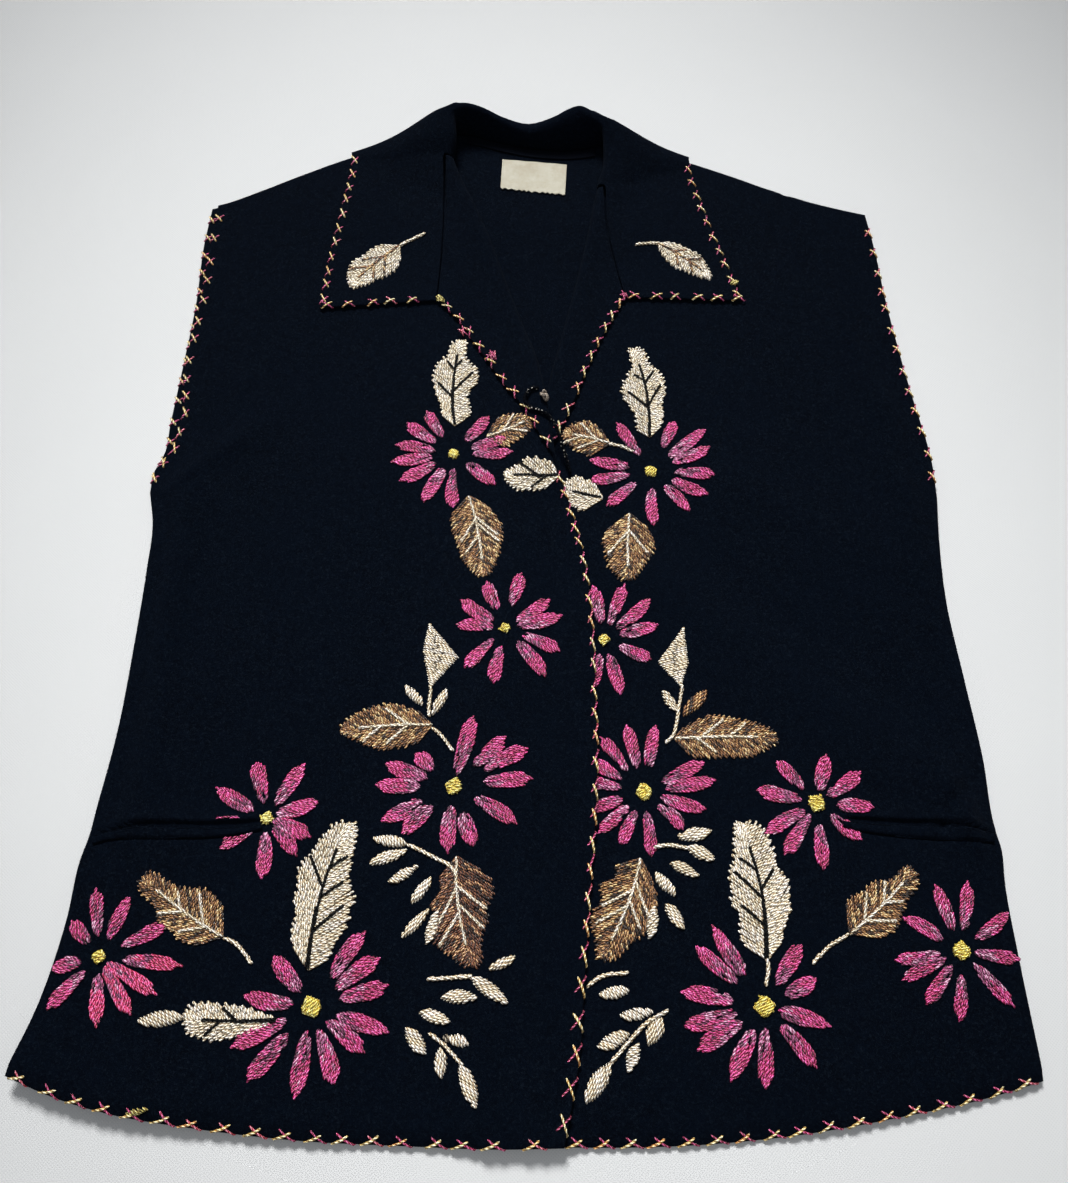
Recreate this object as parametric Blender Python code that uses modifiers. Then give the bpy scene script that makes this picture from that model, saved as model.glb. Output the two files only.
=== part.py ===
"""A sleeveless felted-wool vest with a notched collar, laid flat, front up.

Built the way it is cut and sewn: a back, two fronts whose lapels turn back along their roll lines, a collar
with its stand and fall in one, a neck tape and label inside the back neck, a welt at each pocket slit, and a
braided loop at the break of the lapels. Tables are in mm, in the vest's own frame: X across, Y from hem to
neck, Z up from the surface that it lies on.
"""

import math

import bmesh
import bpy
import numpy as np
from mathutils import Vector

MM = 0.001
# ---------------------------------------------------------------- sizes, in mm
WALL = 1.6            # felted wool, one ply
GAP = 0.3             # between two pieces at a seam
PLY = WALL + GAP      # one more ply on top of another
OVER_GAP = 0.5        # air under a turned-down lapel or collar
ROLL_R = 2.6          # radius of a lapel's roll
BREAK_R = 1.25        # radius of the roll where the lapel starts
WRAP_R = 2.9          # radius at which the collar goes round the shoulder edge
SHIFT = (5.5, -29.0)  # puts the middle of the laid-out vest at the origin
R, L = 0, 1           # the wearer's right is at -X, the wearer's left at +X

# Side seam and armhole, from the hem up.
#  station          right_x  right_y   left_x   left_y
SIDE = (
    ("hem corner",  -264.0,  -265.0,   253.0,  -266.0),
    ("flare",       -254.0,  -228.0,   252.0,  -242.0),
    ("hip",         -247.0,  -189.0,   250.0,  -208.0),
    ("under welt",  -244.5,  -158.0,   248.5,  -167.0),
    ("welt",        -241.5,  -145.0,   249.3,  -151.0),
    ("over welt",   -240.0,  -132.0,   247.2,  -138.0),
    ("high hip",    -235.0,   -92.0,   246.5,  -101.0),
    ("waist",       -232.0,   -33.0,   242.5,   -54.0),
    ("rib",         -231.0,    10.0,   238.5,    -5.0),
    ("high rib",    -231.3,    40.0,   239.5,    34.0),
    ("underarm",    -235.5,    61.0,   242.0,    64.0),
)
ARMHOLE = (
    ("underarm",    -235.5,    61.0,   242.0,    64.0),
    ("low curve",   -235.6,    76.0,   241.6,    92.0),
    ("curve",       -230.8,    89.0,   239.0,   112.0),
    ("lower",       -229.6,   110.0,   236.0,   131.0),
    ("middle",      -226.6,   154.0,   231.0,   169.0),
    ("upper",       -223.8,   202.0,   226.5,   212.0),
    ("high",        -223.8,   248.0,   224.0,   248.0),
    ("tip",         -221.5,   278.5,   220.5,   278.0),
)
# How far the right front's armhole edge lies inside the back's.
#  y       inset
ARM_INSET = (
    (61.0, 0.0), (78.0, 1.6), (90.0, 4.6), (104.0, 6.4), (120.0, 7.2), (134.0, 4.4),
    (150.0, 2.2), (172.0, 2.2), (190.0, 2.8), (218.0, 4.0), (250.0, 4.8), (278.5, 4.4),
)
# Hem, side to side: the right front's runs to its front edge, and the left front's starts under it.
#  x        y
HEM_R = ((-264.0, -265.0), (-236.5, -275.5), (-216.0, -281.0), (-166.0, -289.0),
         (-117.0, -294.0), (-68.0, -296.2), (-19.0, -297.6), (12.0, -297.0))
HEM_L = ((-24.0, -294.5), (12.0, -296.6), (39.0, -296.8), (79.0, -295.5),
         (128.0, -291.0), (178.0, -283.0), (230.0, -272.5), (253.0, -266.0))
# Shoulder seam, armhole tip to neck point.
SHOULDER_R = ((-221.5, 278.5), (-212.0, 281.4), (-190.0, 291.4), (-164.0, 304.4), (-130.0, 320.6), (-64.0, 343.6))
SHOULDER_L = ((220.5, 278.0), (199.0, 283.5), (165.0, 294.0), (136.5, 306.0), (102.0, 320.0), (49.2, 336.2))
# Back neck seam, neck point to neck point.
NECK = ((-64.0, 343.6), (-52.0, 344.0), (-43.0, 342.4), (-28.0, 337.8), (-14.0, 334.2), (3.5, 331.6),
        (19.0, 331.2), (35.0, 333.4), (49.2, 336.2))
# Front edge of each front below the break of its lapel.
#  y       x
EDGE_R = ((-297.0, 12.0), (-278.0, 16.0), (-257.0, 20.0), (-228.0, 22.5), (-178.0, 26.5), (-125.5, 31.0),
          (-91.5, 32.0), (-62.5, 31.5), (-32.5, 31.0), (-1.0, 29.0), (28.0, 24.6), (58.0, 17.0), (83.0, 9.0))
EDGE_L = ((-294.5, -24.0), (-228.0, -26.0), (-178.0, -27.0), (-125.0, -27.5), (-68.0, -24.0), (-32.0, -17.0),
          (19.0, -9.0), (59.0, -2.0), (84.0, 2.0))
# Roll line of each lapel, from its break up to the gorge.
#  y       x     roll radius
ROLL_TAB_R = ((83.0, 9.0, 1.25), (108.5, 5.4, 1.6), (135.5, 1.4, 2.2), (161.0, -4.2, 2.6), (186.0, -12.5, 2.6),
              (219.0, -23.5, 2.6), (236.5, -29.0, 2.6), (282.0, -46.0, 2.8), (301.5, -54.7, 3.6), (316.0, -59.8, 4.6))
ROLL_TAB_L = ((84.0, 2.0, 1.25), (112.0, 3.6, 1.4), (139.5, 6.2, 2.0), (169.0, 13.0, 2.6), (196.0, 19.4, 2.6),
              (234.5, 28.0, 2.6), (263.0, 33.8, 2.6), (280.0, 36.7, 2.8), (292.5, 39.2, 3.3))
# Cut edge of each lapel, from the break to the notch, and the gorge seam above it.
LAPEL_R = ((83.0, 9.0), (107.0, -4.6), (125.0, -13.6), (144.0, -26.0), (157.0, -33.6), (168.0, -41.0), (190.5, -55.0), (202.6, -66.8))
LAPEL_L = ((84.0, 2.0), (101.0, 10.4), (110.0, 14.4), (128.0, 22.0), (148.7, 29.0), (168.7, 37.0), (188.6, 46.3),
           (206.6, 55.3))
GORGE_R = ((202.6, -66.8), (222.4, -65.4), (249.4, -64.0), (285.0, -63.7), (316.0, -64.4))
GORGE_L = ((206.6, 55.3), (220.5, 51.8), (234.0, 49.0), (258.0, 44.5), (292.5, 42.5))
# Free edge of the collar on each front, from its point up.
#  y       x
FALL_R = ((195.6, -142.6), (225.4, -140.1), (254.0, -136.5), (278.0, -132.8), (303.5, -129.4), (315.0, -128.4))
FALL_L = ((205.0, 131.6), (237.0, 122.6), (264.3, 114.0), (293.0, 106.4), (308.5, 103.0))
# Neck edge of each front, between the roll and the shoulder.
NECKLINE_R = ((316.0, -64.4), (330.0, -66.8), (343.6, -65.2))
NECKLINE_L = ((292.5, 42.5), (314.0, 50.8), (336.2, 50.4))

# Sections of the collar round the neck, from the gorge of the right front to that of the left front.
# seam: where the stand is sewn on; rise: direction in which it leaves the seam (0 = level, towards the
# opening, 90 = upright); crest: top of its fold; edge: free edge of the fall; wrap: 90 = on the front,
# 0 = at the shoulder's edge, -90 = under the back.
#  section          seam_x seam_y seam_z rise  crest_x crest_y crest_z  edge_x  edge_y  wrap
COLLAR = (
    ("gorge right",   -64.0, 317.3,  4.6,   0.0,  -65.1, 317.6, 13.8,   -128.4, 315.3,  90.0),
    ("neckline r",    -63.2, 330.5,  4.4,  35.0,  -63.4, 331.5, 20.5,   -128.6, 318.4,  90.0),
    ("shoulder r",    -60.8, 344.6,  3.8,  72.0,  -62.0, 344.8, 24.0,   -128.8, 321.2,  90.0),
    ("edge r",        -56.5, 345.6,  2.8,  80.0,  -57.8, 348.6, 25.2,   -128.8, 321.4,   0.0),
    ("turned r",      -53.0, 345.6,  2.4,  82.0,  -54.0, 350.0, 25.0,   -127.6, 320.8, -90.0),
    ("behind r",      -47.0, 344.8,  2.1,  84.0,  -47.5, 350.4, 24.2,   -117.0, 308.0, -90.0),
    ("back r",        -38.0, 342.0,  1.9,  86.0,  -38.0, 348.4, 22.2,    -88.0, 300.0, -90.0),
    ("half back r",   -24.0, 337.7,  1.9,  86.0,  -24.0, 343.2, 18.2,    -50.0, 295.0, -90.0),
    ("centre back",    -6.0, 333.5,  1.9,  86.0,   -8.0, 339.2, 16.2,    -10.0, 292.0, -90.0),
    ("half back l",    10.0, 332.3,  1.9,  86.0,    8.0, 342.2, 20.6,     32.0, 291.0, -90.0),
    ("back l",         22.0, 332.9,  1.9,  86.0,   18.0, 346.4, 24.0,     64.0, 294.0, -90.0),
    ("behind l",       32.0, 334.6,  2.1,  84.0,   25.5, 347.8, 25.8,     88.0, 302.0, -90.0),
    ("turned l",       39.0, 336.4,  2.4,  82.0,   31.5, 345.4, 25.0,    100.0, 319.6, -90.0),
    ("edge l",         43.5, 337.4,  2.8,  80.0,   37.0, 342.4, 23.6,    101.8, 320.4,   0.0),
    ("shoulder l",     46.4, 337.2,  3.9,  70.0,   45.0, 336.0, 20.6,    102.2, 319.8,  90.0),
    ("neckline l",     46.8, 314.0,  4.4,  35.0,   49.2, 316.0, 15.0,    102.8, 313.4,  90.0),
    ("gorge l",        41.9, 293.8,  4.6,   0.0,   43.0, 294.2, 11.3,    103.0, 308.8,  90.0),
)

# Soft folds of the two fronts: a ridge from one end to the other.
#  front  from_x  from_y   to_x    to_y   width  height
FOLDS = (
    (R,   -213.0,   50.0, -216.0, -120.0,  11.0,  3.0),
    (R,   -222.0,   64.0, -186.0,   98.0,   8.0,  2.2),
    (R,   -196.0,  -70.0, -206.0, -240.0,  20.0,  1.6),
    (R,   -120.0,   60.0, -150.0, -200.0,  42.0,  1.6),
    (R,    -30.0,  -20.0,  -42.0, -250.0,  30.0,  1.2),
    (L,     60.0,   10.0,  225.0, -120.0,  17.0,  2.6),
    (L,    120.0,   70.0,  232.0,   10.0,  20.0,  1.8),
    (L,    214.0,  120.0,  226.0,   50.0,   9.0,  2.2),
    (L,    226.0, -118.0,  236.0, -142.0,   7.0,  3.4),
    (L,    120.0, -120.0,  150.0, -250.0,  34.0,  1.8),
)


def smooth(x, table, col=1, key=0):
    """A curve through the table's rows, with the slope at each row taken from its neighbours."""
    xs = np.array([row[key] for row in table], float)
    vs = np.array([row[col] for row in table], float)
    if xs[0] > xs[-1]:
        xs, vs = xs[::-1], vs[::-1]
    x = np.clip(np.asarray(x, float), xs[0], xs[-1])
    h, d = np.diff(xs), np.diff(vs) / np.diff(xs)
    m = np.empty_like(vs)
    m[0], m[-1] = d[0], d[-1]
    if len(d) > 1:
        m[1:-1] = (h[1:] * d[:-1] + h[:-1] * d[1:]) / (h[1:] + h[:-1])
    i = np.clip(np.searchsorted(xs, x, side="right") - 1, 0, len(h) - 1)
    t = (x - xs[i]) / h[i]
    return ((2 * t**3 - 3 * t**2 + 1) * vs[i] + (t**3 - 2 * t**2 + t) * h[i] * m[i]
            + (3 * t**2 - 2 * t**3) * vs[i + 1] + (t**3 - t**2) * h[i] * m[i + 1])


def ramp(t):
    t = np.clip(t, 0.0, 1.0)
    return t * t * (3 - 2 * t)


def side_x(side, y):
    """x of the body's outline on one side."""
    cols = (1, 2) if side == R else (3, 4)
    y = np.asarray(y, float)
    low = smooth(y, SIDE, cols[0], cols[1])
    high = smooth(y, ARMHOLE, cols[0], cols[1])
    return np.where(y < ARMHOLE[0][cols[1]], low, high)


def edge_x(side, y):
    """x of a front's edge: its cut edge up to the break, then the roll of its lapel, then its neck edge."""
    edge, roll, line = (EDGE_R, ROLL_TAB_R, NECKLINE_R) if side == R else (EDGE_L, ROLL_TAB_L, NECKLINE_L)
    y = np.asarray(y, float)
    x = np.where(y < roll[0][0], smooth(y, edge), smooth(y, roll))
    return np.where(y > roll[-1][0], smooth(y, line), x)


def roll_r(side, y):
    tab = ROLL_TAB_R if side == R else ROLL_TAB_L
    return smooth(y, tab, 2)


def lapel_x(side, y):
    """x of the lapel's outer side: its cut edge up to the notch, then the gorge seam."""
    cut, gorge = (LAPEL_R, GORGE_R) if side == R else (LAPEL_L, GORGE_L)
    y = np.asarray(y, float)
    return np.where(y < gorge[0][0], smooth(y, cut), smooth(y, gorge))


def lift_neck(x, y):
    """The body lies on the part of the collar that is tucked under the back."""
    q = np.hypot((x + 9.0) / 152.0, (y - 324.0) / 62.0)
    return PLY * (1 - ramp((q - 0.86) / 0.8))


def fold_height(side, x, y):
    z = 0.0 * x
    for front, x0, y0, x1, y1, width, height in FOLDS:
        if front != side:
            continue
        ux, uy = x1 - x0, y1 - y0
        span = math.hypot(ux, uy)
        ux, uy = ux / span, uy / span
        along = (x - x0) * ux + (y - y0) * uy
        across = (x - x0) * uy - (y - y0) * ux
        over = np.maximum(np.maximum(-along, along - span), 0.0)
        z = z + height * np.exp(-((across / width) ** 2) - (over / (1.6 * width + 10.0)) ** 2)
    return z


def back_z(x, y):
    """Middle of the back's wall."""
    return WALL / 2 + lift_neck(x, y)


def front_z(side, x, y):
    """Middle of a front's wall."""
    x, y = np.asarray(x, float), np.asarray(y, float)
    z = back_z(x, y) + PLY + 0.4 * ramp(1 - np.abs(y - 262.0) / 60.0)
    near_side = np.abs(x - side_x(side, np.clip(y, -265.0, 279.0)))
    z = z + fold_height(side, x, y) * ramp(near_side / 16.0)
    if side == R:
        under = np.where(y < 84.0, edge_x(L, np.minimum(y, 84.0)), edge_x(L, np.clip(y, 84.0, 290.0)))
        on_front = ramp((x - (under - 27.0)) / 24.0) * (1 - ramp((y - 150.0) / 50.0))
        z = z + (PLY + 0.2 + fold_height(L, x, y)) * on_front
        on_lapel = ramp((y - 52.0) / 30.0) * (1 - ramp((y - 150.0) / 45.0)) * ramp((x + 26.0) / 24.0)
        z = z + (PLY + 1.9) * on_lapel
    return z


def over_z(side, x, y):
    """Middle of the wall of a lapel or collar that lies flat on a front."""
    return front_z(side, x, y) + PLY + OVER_GAP


def turned_z(side, x, y):
    """The same, with the swell beside the roll line."""
    y = np.asarray(y, float)
    roll = ROLL_TAB_R if side == R else ROLL_TAB_L
    yc = np.clip(y, roll[0][0], roll[-1][0])
    r = roll_r(side, yc)
    sign = -1.0 if side == R else 1.0
    ex = edge_x(side, yc) + sign * r
    top = front_z(side, ex, yc) + 2 * r
    swell = top - over_z(side, ex, yc)
    width = 9.0 + 27.0 * ramp((yc - 270.0) / 60.0)
    d = np.maximum(sign * (x - ex), 0.0)
    return over_z(side, x, y) + swell * np.exp(-((d / width) ** 2))


def collar_row(s):
    """Columns of COLLAR at a place s between its rows."""
    rows = [tuple(float(v) for v in row[1:]) for row in COLLAR]
    table = [(float(i),) + row for i, row in enumerate(rows)]
    return [float(smooth(s, table, c)) for c in range(1, 11)]


def collar_fall(s, f):
    """A point of the collar's fall: f = 0 at the crest, 1 at the free edge."""
    sx, sy, sz, rise, cx, cy, cz, ex, ey, wrap = collar_row(s)
    wrap = math.radians(max(-90.0, min(90.0, wrap)))
    side = R if s < 8.0 else L
    out = np.array([cx + 8.0, cy - 308.0])
    out /= np.linalg.norm(out)
    shoulder = np.array([-0.32, 0.947]) if side == R else np.array([0.29, 0.957])
    tuck = ramp((0.15 - math.sin(wrap)) / 1.0)
    # laid down gradually, as on the front
    ax, ay = cx + (ex - cx) * f, cy + (ey - cy) * f
    ka = math.exp(-((math.hypot(ax - cx, ay - cy) / (9.0 + 27.0 * float(ramp((cy - 270.0) / 60.0)))) ** 2))
    # dropped at once, then run flat, as under the back
    g = max(0.0, (f - 0.3) / 0.7)
    drop = min(1.0, f / 0.3)
    bx, by = cx + (ex - cx) * g, cy + (ey - cy) * g
    bulge = 6.0 * math.sin(math.pi * drop) if f < 0.3 else 0.0
    bx, by = bx + out[0] * bulge, by + out[1] * bulge
    kb = 0.5 + 0.5 * math.cos(math.pi * drop)
    x, y = ax + (bx - ax) * tuck, ay + (by - ay) * tuck
    k = ka + (kb - ka) * tuck
    away = WRAP_R * math.cos(wrap) * min(1.0, f / 0.25 + 0.3)
    x, y = x + shoulder[0] * away, y + shoulder[1] * away
    qx, qy = x, y
    top = float(over_z(side, np.array(qx), np.array(qy)))
    low = WALL / 2 + 0.05
    middle = float(back_z(np.array(qx), np.array(qy))) + PLY / 2
    flat = middle + ((top - middle) if wrap > 0 else (middle - low)) * math.sin(wrap)
    return x, y, flat + (cz - flat) * k


def collar_stand(s, f):
    """A point of the collar's stand: f = 0 at the neck seam, 1 at the crest."""
    sx, sy, sz, rise, cx, cy, cz, ex, ey, wrap = collar_row(s)
    out = np.array([cx + 8.0, cy - 308.0])
    out /= np.linalg.norm(out)
    up = max(0.0, min(90.0, rise)) / 90.0
    a0 = math.radians(max(0.0, min(90.0, rise)))
    height = cz - sz
    p0, p3 = np.array([sx, sy, sz]), np.array([cx, cy, cz])
    start = np.array([-out[0] * math.cos(a0), -out[1] * math.cos(a0), math.sin(a0)])
    lean = max(1.5, float(np.dot(p3[:2] - p0[:2], out)))
    p1 = p0 + start * height * (0.667 - 0.1 * up)
    p2 = p3 - np.array([out[0], out[1], 0.0]) * (0.667 * height * (1 - up) + (0.55 * lean + 2.0) * up)
    return (1 - f) ** 3 * p0 + 3 * (1 - f) ** 2 * f * p1 + 3 * (1 - f) * f * f * p2 + f**3 * p3

# ---------------------------------------------------------------- small pieces, in mm
TAPE = 1.0            # neck tape's wall
LABEL_WALL = 1.0
WELT = 1.2            # pocket welt's wall
CORD = 2.2            # braided cord's diameter
BACK_SHORT = 2.0      # the back's hem lies this much inside the fronts'
LABEL = ((-26.0, 322.0), (18.5, 318.0), (17.0, 291.0), (-27.0, 296.0))   # corners, clockwise from the upper right side
# Pocket welts, along the slit.
#  x        top_y    low_y
WELT_R = ((-239.0, -147.6, -153.0), (-231.0, -143.8, -150.2), (-222.0, -141.8, -148.4), (-188.0, -140.0, -147.2),
          (-149.0, -139.8, -146.4))
WELT_L = ((164.0, -135.8, -140.8), (179.0, -137.8, -142.4), (205.0, -139.6, -145.4), (228.0, -140.8, -146.8),
          (245.5, -142.4, -148.8))
# Cord loop, from its sewn end: x, y, z of its centreline.
LOOP = (
    (18.8, 76.0, 5.8), (16.6, 83.0, 7.6), (14.6, 89.0, 10.6), (12.0, 96.0, 13.3), (9.6, 103.4, 14.5), (5.6, 110.6, 15.2),
    (-0.8, 114.6, 15.2), (-6.0, 117.4, 14.8), (-9.4, 122.0, 14.2), (-8.6, 127.2, 14.4), (-5.0, 130.6, 15.0),
    (-1.0, 130.4, 15.6),
)
# Knot at the loop's end: x, y, z, then its half sizes and its turn in degrees.
KNOT = (2.6, 124.6, 16.6, 2.5, 4.3, 2.3, 29.0)



# ---------------------------------------------------------------- building

def clear_scene():
    for obj in list(bpy.data.objects):
        bpy.data.objects.remove(obj, do_unlink=True)


def material(name, colour, roughness, metallic=0.0):
    mat = bpy.data.materials.new(name)
    mat.use_nodes = True
    bsdf = mat.node_tree.nodes["Principled BSDF"]
    bsdf.inputs["Base Color"].default_value = (*colour, 1.0)
    bsdf.inputs["Roughness"].default_value = roughness
    bsdf.inputs["Metallic"].default_value = metallic
    return mat


def place(p):
    """From the tables' frame in mm to the part's frame in metres."""
    return ((p[0] + SHIFT[0]) * MM, (p[1] + SHIFT[1]) * MM, p[2] * MM)


def cloth(name, rows, mat, wall=WALL, skip=None, offset=0.0):
    """A sheet of cloth through the given rows of points, with its wall added on both sides."""
    count, across = len(rows), len(rows[0])
    bm = bmesh.new()
    bmesh.ops.create_grid(bm, x_segments=across - 1, y_segments=count - 1, size=1.0)
    for v in bm.verts:
        v.tag = False
    for face in list(bm.faces):
        mid = face.calc_center_median()
        i = int((mid.y + 1) / 2 * (count - 1))
        j = int((mid.x + 1) / 2 * (across - 1))
        if skip and skip(i, j):
            bm.faces.remove(face)
    for v in bm.verts:
        i = round((v.co.y + 1) / 2 * (count - 1))
        j = round((v.co.x + 1) / 2 * (across - 1))
        v.co = place(rows[i][j])
    for v in [v for v in bm.verts if not v.link_faces]:
        bm.verts.remove(v)
    for e in [e for e in bm.edges if not e.link_faces]:
        bm.edges.remove(e)
    bmesh.ops.remove_doubles(bm, verts=bm.verts, dist=1e-5)
    bmesh.ops.dissolve_degenerate(bm, dist=1e-5, edges=bm.edges)
    bmesh.ops.recalc_face_normals(bm, faces=bm.faces)
    mesh = bpy.data.meshes.new(name)
    bm.to_mesh(mesh)
    bm.free()
    obj = bpy.data.objects.new(name, mesh)
    PARTS.objects.link(obj)
    mesh.materials.append(mat)
    mesh.shade_smooth()
    solid = obj.modifiers.new("wall", "SOLIDIFY")
    solid.thickness = wall * MM
    solid.offset = offset
    solid.use_even_offset = True
    obj.parent = ROOT
    return obj


def spaced(a, b, n):
    return [a + (b - a) * i / n for i in range(n + 1)]


def coons(u, v, outer, inner, low, high):
    """A point of a four-sided patch between its boundary curves."""
    o, i, b, t = outer(v), inner(v), low(u), high(u)
    o0, o1, i0, i1 = outer(0.0), outer(1.0), inner(0.0), inner(1.0)
    return tuple(
        (1 - u) * o[k] + u * i[k] + (1 - v) * b[k] + v * t[k]
        - (1 - u) * (1 - v) * o0[k] - (1 - u) * v * o1[k] - u * (1 - v) * i0[k] - u * v * i1[k]
        for k in (0, 1)
    )


def front_rows(side, below, beside, above, across, arc, flap):
    """Rows of a front with its turned-back lapel: the panel, the roll, then the lapel."""
    hem, shoulder = (HEM_R, SHOULDER_R) if side == R else (HEM_L, SHOULDER_L)
    roll, cut = (ROLL_TAB_R, LAPEL_R) if side == R else (ROLL_TAB_L, LAPEL_L)
    sign = -1.0 if side == R else 1.0
    low_y = EDGE_R[0][0] if side == R else EDGE_L[0][0]
    break_y, gorge_y = roll[0][0], roll[-1][0]
    high_y = shoulder[-1][1]
    ys = spaced(low_y, break_y - 18.0, below) + [break_y - 12.0, break_y - 6.0, break_y, break_y + 6.0]
    notch_y = cut[-1][0]
    ys += spaced(break_y + 6.0, notch_y, beside)[1:] + spaced(notch_y, gorge_y, beside)[1:]
    ys += spaced(gorge_y, high_y, above)[1:]
    tip_y = shoulder[0][1]
    corner_y = SIDE[0][2] if side == R else SIDE[0][4]
    start_x = SIDE[0][1] if side == R else SIDE[0][3]
    end_x = shoulder[-1][0] + (-1.1 if side == R else 1.1)

    def outer(v):
        y = corner_y + v * (tip_y - corner_y)
        x = float(side_x(side, y))
        if side == R:
            x += float(smooth(y, ARM_INSET)) if y > ARM_INSET[0][0] else 0.0
        return x, y

    def curl(y):
        return float(ramp((y - break_y + 18.0) / 24.0)) if y <= gorge_y + 1e-6 else 0.0

    def radius(y):
        return float(roll_r(side, max(y, break_y))) * float(ramp((y - break_y + 18.0) / 14.0))

    def inner(v):
        y = low_y + v * (high_y - low_y)
        x = float(edge_x(side, y))
        if y <= gorge_y + 1e-6:
            x += sign * radius(y) * min(1.0, curl(y) * 2.0)
        return x, y

    def bottom(u):
        x = start_x + u * (hem[-1][0] - start_x) if side == R else start_x + u * (hem[0][0] - start_x)
        return x, float(smooth(x, hem))

    def top(u):
        x0 = outer(1.0)[0]
        x = x0 + u * (end_x - x0)
        return x, float(smooth(x, shoulder))

    def ends(u, v):
        # the inner boundary's ends belong to the hem and the shoulder
        i0, i1 = inner(0.0), inner(1.0)
        b1, t1 = bottom(1.0), top(1.0)
        x, y = coons(u, v, outer, inner, bottom, top)
        k0, k1 = u * (1 - v), u * v
        return (x - k0 * (b1[0] - i0[0]) - k1 * (t1[0] - i1[0]), y - k0 * (b1[1] - i0[1]) - k1 * (t1[1] - i1[1]))

    rows = []
    for y in ys:
        v = (y - low_y) / (high_y - low_y)
        row = []
        for u in spaced(0.0, 1.0, across):
            u = 1 - (1 - u) ** 1.25
            px, py = ends(u, v)
            row.append((px, py, float(front_z(side, px, py))))
        ex, ey, ez = row[-1]
        r, c = radius(y) * min(1.0, curl(y) * 2.0), curl(y)
        for k in range(1, arc + 1):
            a = -math.pi / 2 + math.pi * c * k / arc
            row.append((ex - sign * r * math.cos(a), ey, ez + r + r * math.sin(a)))
        fx, fy, fz = row[-1]
        lx = float(lapel_x(side, y))
        wide = max(0.0, sign * (lx - ex)) if break_y + 5.9 <= y <= gorge_y + 1e-6 else 0.0
        for k in range(1, flap + 1):
            x = ex + sign * wide * k / flap
            if wide > 0:
                swell = fz - float(turned_z(side, ex, fy))
                row.append((x, fy, float(turned_z(side, x, fy)) + swell * (1 - k / flap)))
            else:
                row.append((fx, fy, fz))
        rows.append(row)
    gorge_row = next(i for i, y in enumerate(ys) if y >= gorge_y - 1e-6)
    return rows, gorge_row, across


def back_rows(up, shoulder_cols, neck_cols):
    """Rows of the back, hem to neck."""
    tip_r, tip_l = SHOULDER_R[0], SHOULDER_L[0]
    xs = (spaced(tip_r[0], SHOULDER_R[-1][0], shoulder_cols) + spaced(NECK[0][0], NECK[-1][0], neck_cols)[1:]
          + spaced(SHOULDER_L[-1][0], tip_l[0], shoulder_cols)[1:])

    def top(u):
        x = tip_r[0] + u * (tip_l[0] - tip_r[0])
        if x <= NECK[0][0] + 1e-6:
            return x, float(smooth(x, SHOULDER_R))
        if x >= NECK[-1][0] - 1e-6:
            return x, float(smooth(x, SHOULDER_L))
        return x, float(smooth(x, NECK)) - 1.5 * float(ramp(min(x - NECK[0][0], NECK[-1][0] - x) / 8.0))

    def outer(v):
        y = SIDE[0][2] + v * (tip_r[1] - SIDE[0][2])
        return float(side_x(R, y)), y

    def inner(v):
        y = SIDE[0][4] + v * (tip_l[1] - SIDE[0][4])
        return float(side_x(L, y)), y

    def bottom(u):
        x = SIDE[0][1] + u * (SIDE[0][3] - SIDE[0][1])
        y = float(smooth(x, HEM_R if x < 12.0 else HEM_L))
        return x, y + BACK_SHORT * float(ramp(min(x - SIDE[0][1], SIDE[0][3] - x) / 30.0))

    rows = []
    for v in spaced(0.0, 1.0, up):
        row = []
        for x in xs:
            u = (x - tip_r[0]) / (tip_l[0] - tip_r[0])
            px, py = coons(u, v, outer, inner, bottom, top)
            row.append((px, py, float(back_z(px, py))))
        rows.append(row)
    return rows


def collar_rows(front, ring, stand, fall):
    """Rows of the collar: its end on the right front, round the neck, its end on the left front."""
    rows = []

    def flat(side, t):
        gorge, free = (GORGE_R, FALL_R) if side == R else (GORGE_L, FALL_L)
        sign = -1.0 if side == R else 1.0
        top = collar_row(0.0 if side == R else 16.0)
        y0 = gorge[0][0] + t * (top[5] - gorge[0][0])
        x0 = float(smooth(y0, gorge)) + sign * (0.7 + 0.9 * t)
        y1 = free[0][0] + t * (top[8] - free[0][0])
        x1 = float(smooth(y1, free))
        row = []
        for k in range(fall + 1):
            f = (k / fall) ** 1.2
            x, y = x0 + (x1 - x0) * f, y0 + (y1 - y0) * f
            row.append((x, y, float(turned_z(side, x, y))))
        return [row[0]] * stand + row

    def round_neck(s):
        row = [tuple(collar_stand(s, k / stand)) for k in range(stand)]
        return row + [collar_fall(s, (k / fall) ** 1.2) for k in range(fall + 1)]

    for t in spaced(0.0, 1.0, front)[:-1]:
        rows.append(flat(R, t))
    first = len(rows)
    for s in ring:
        rows.append(round_neck(s))
    last = len(rows) - 1
    for t in spaced(1.0, 0.0, front)[1:]:
        rows.append(flat(L, t))
    return rows, first, last


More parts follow.
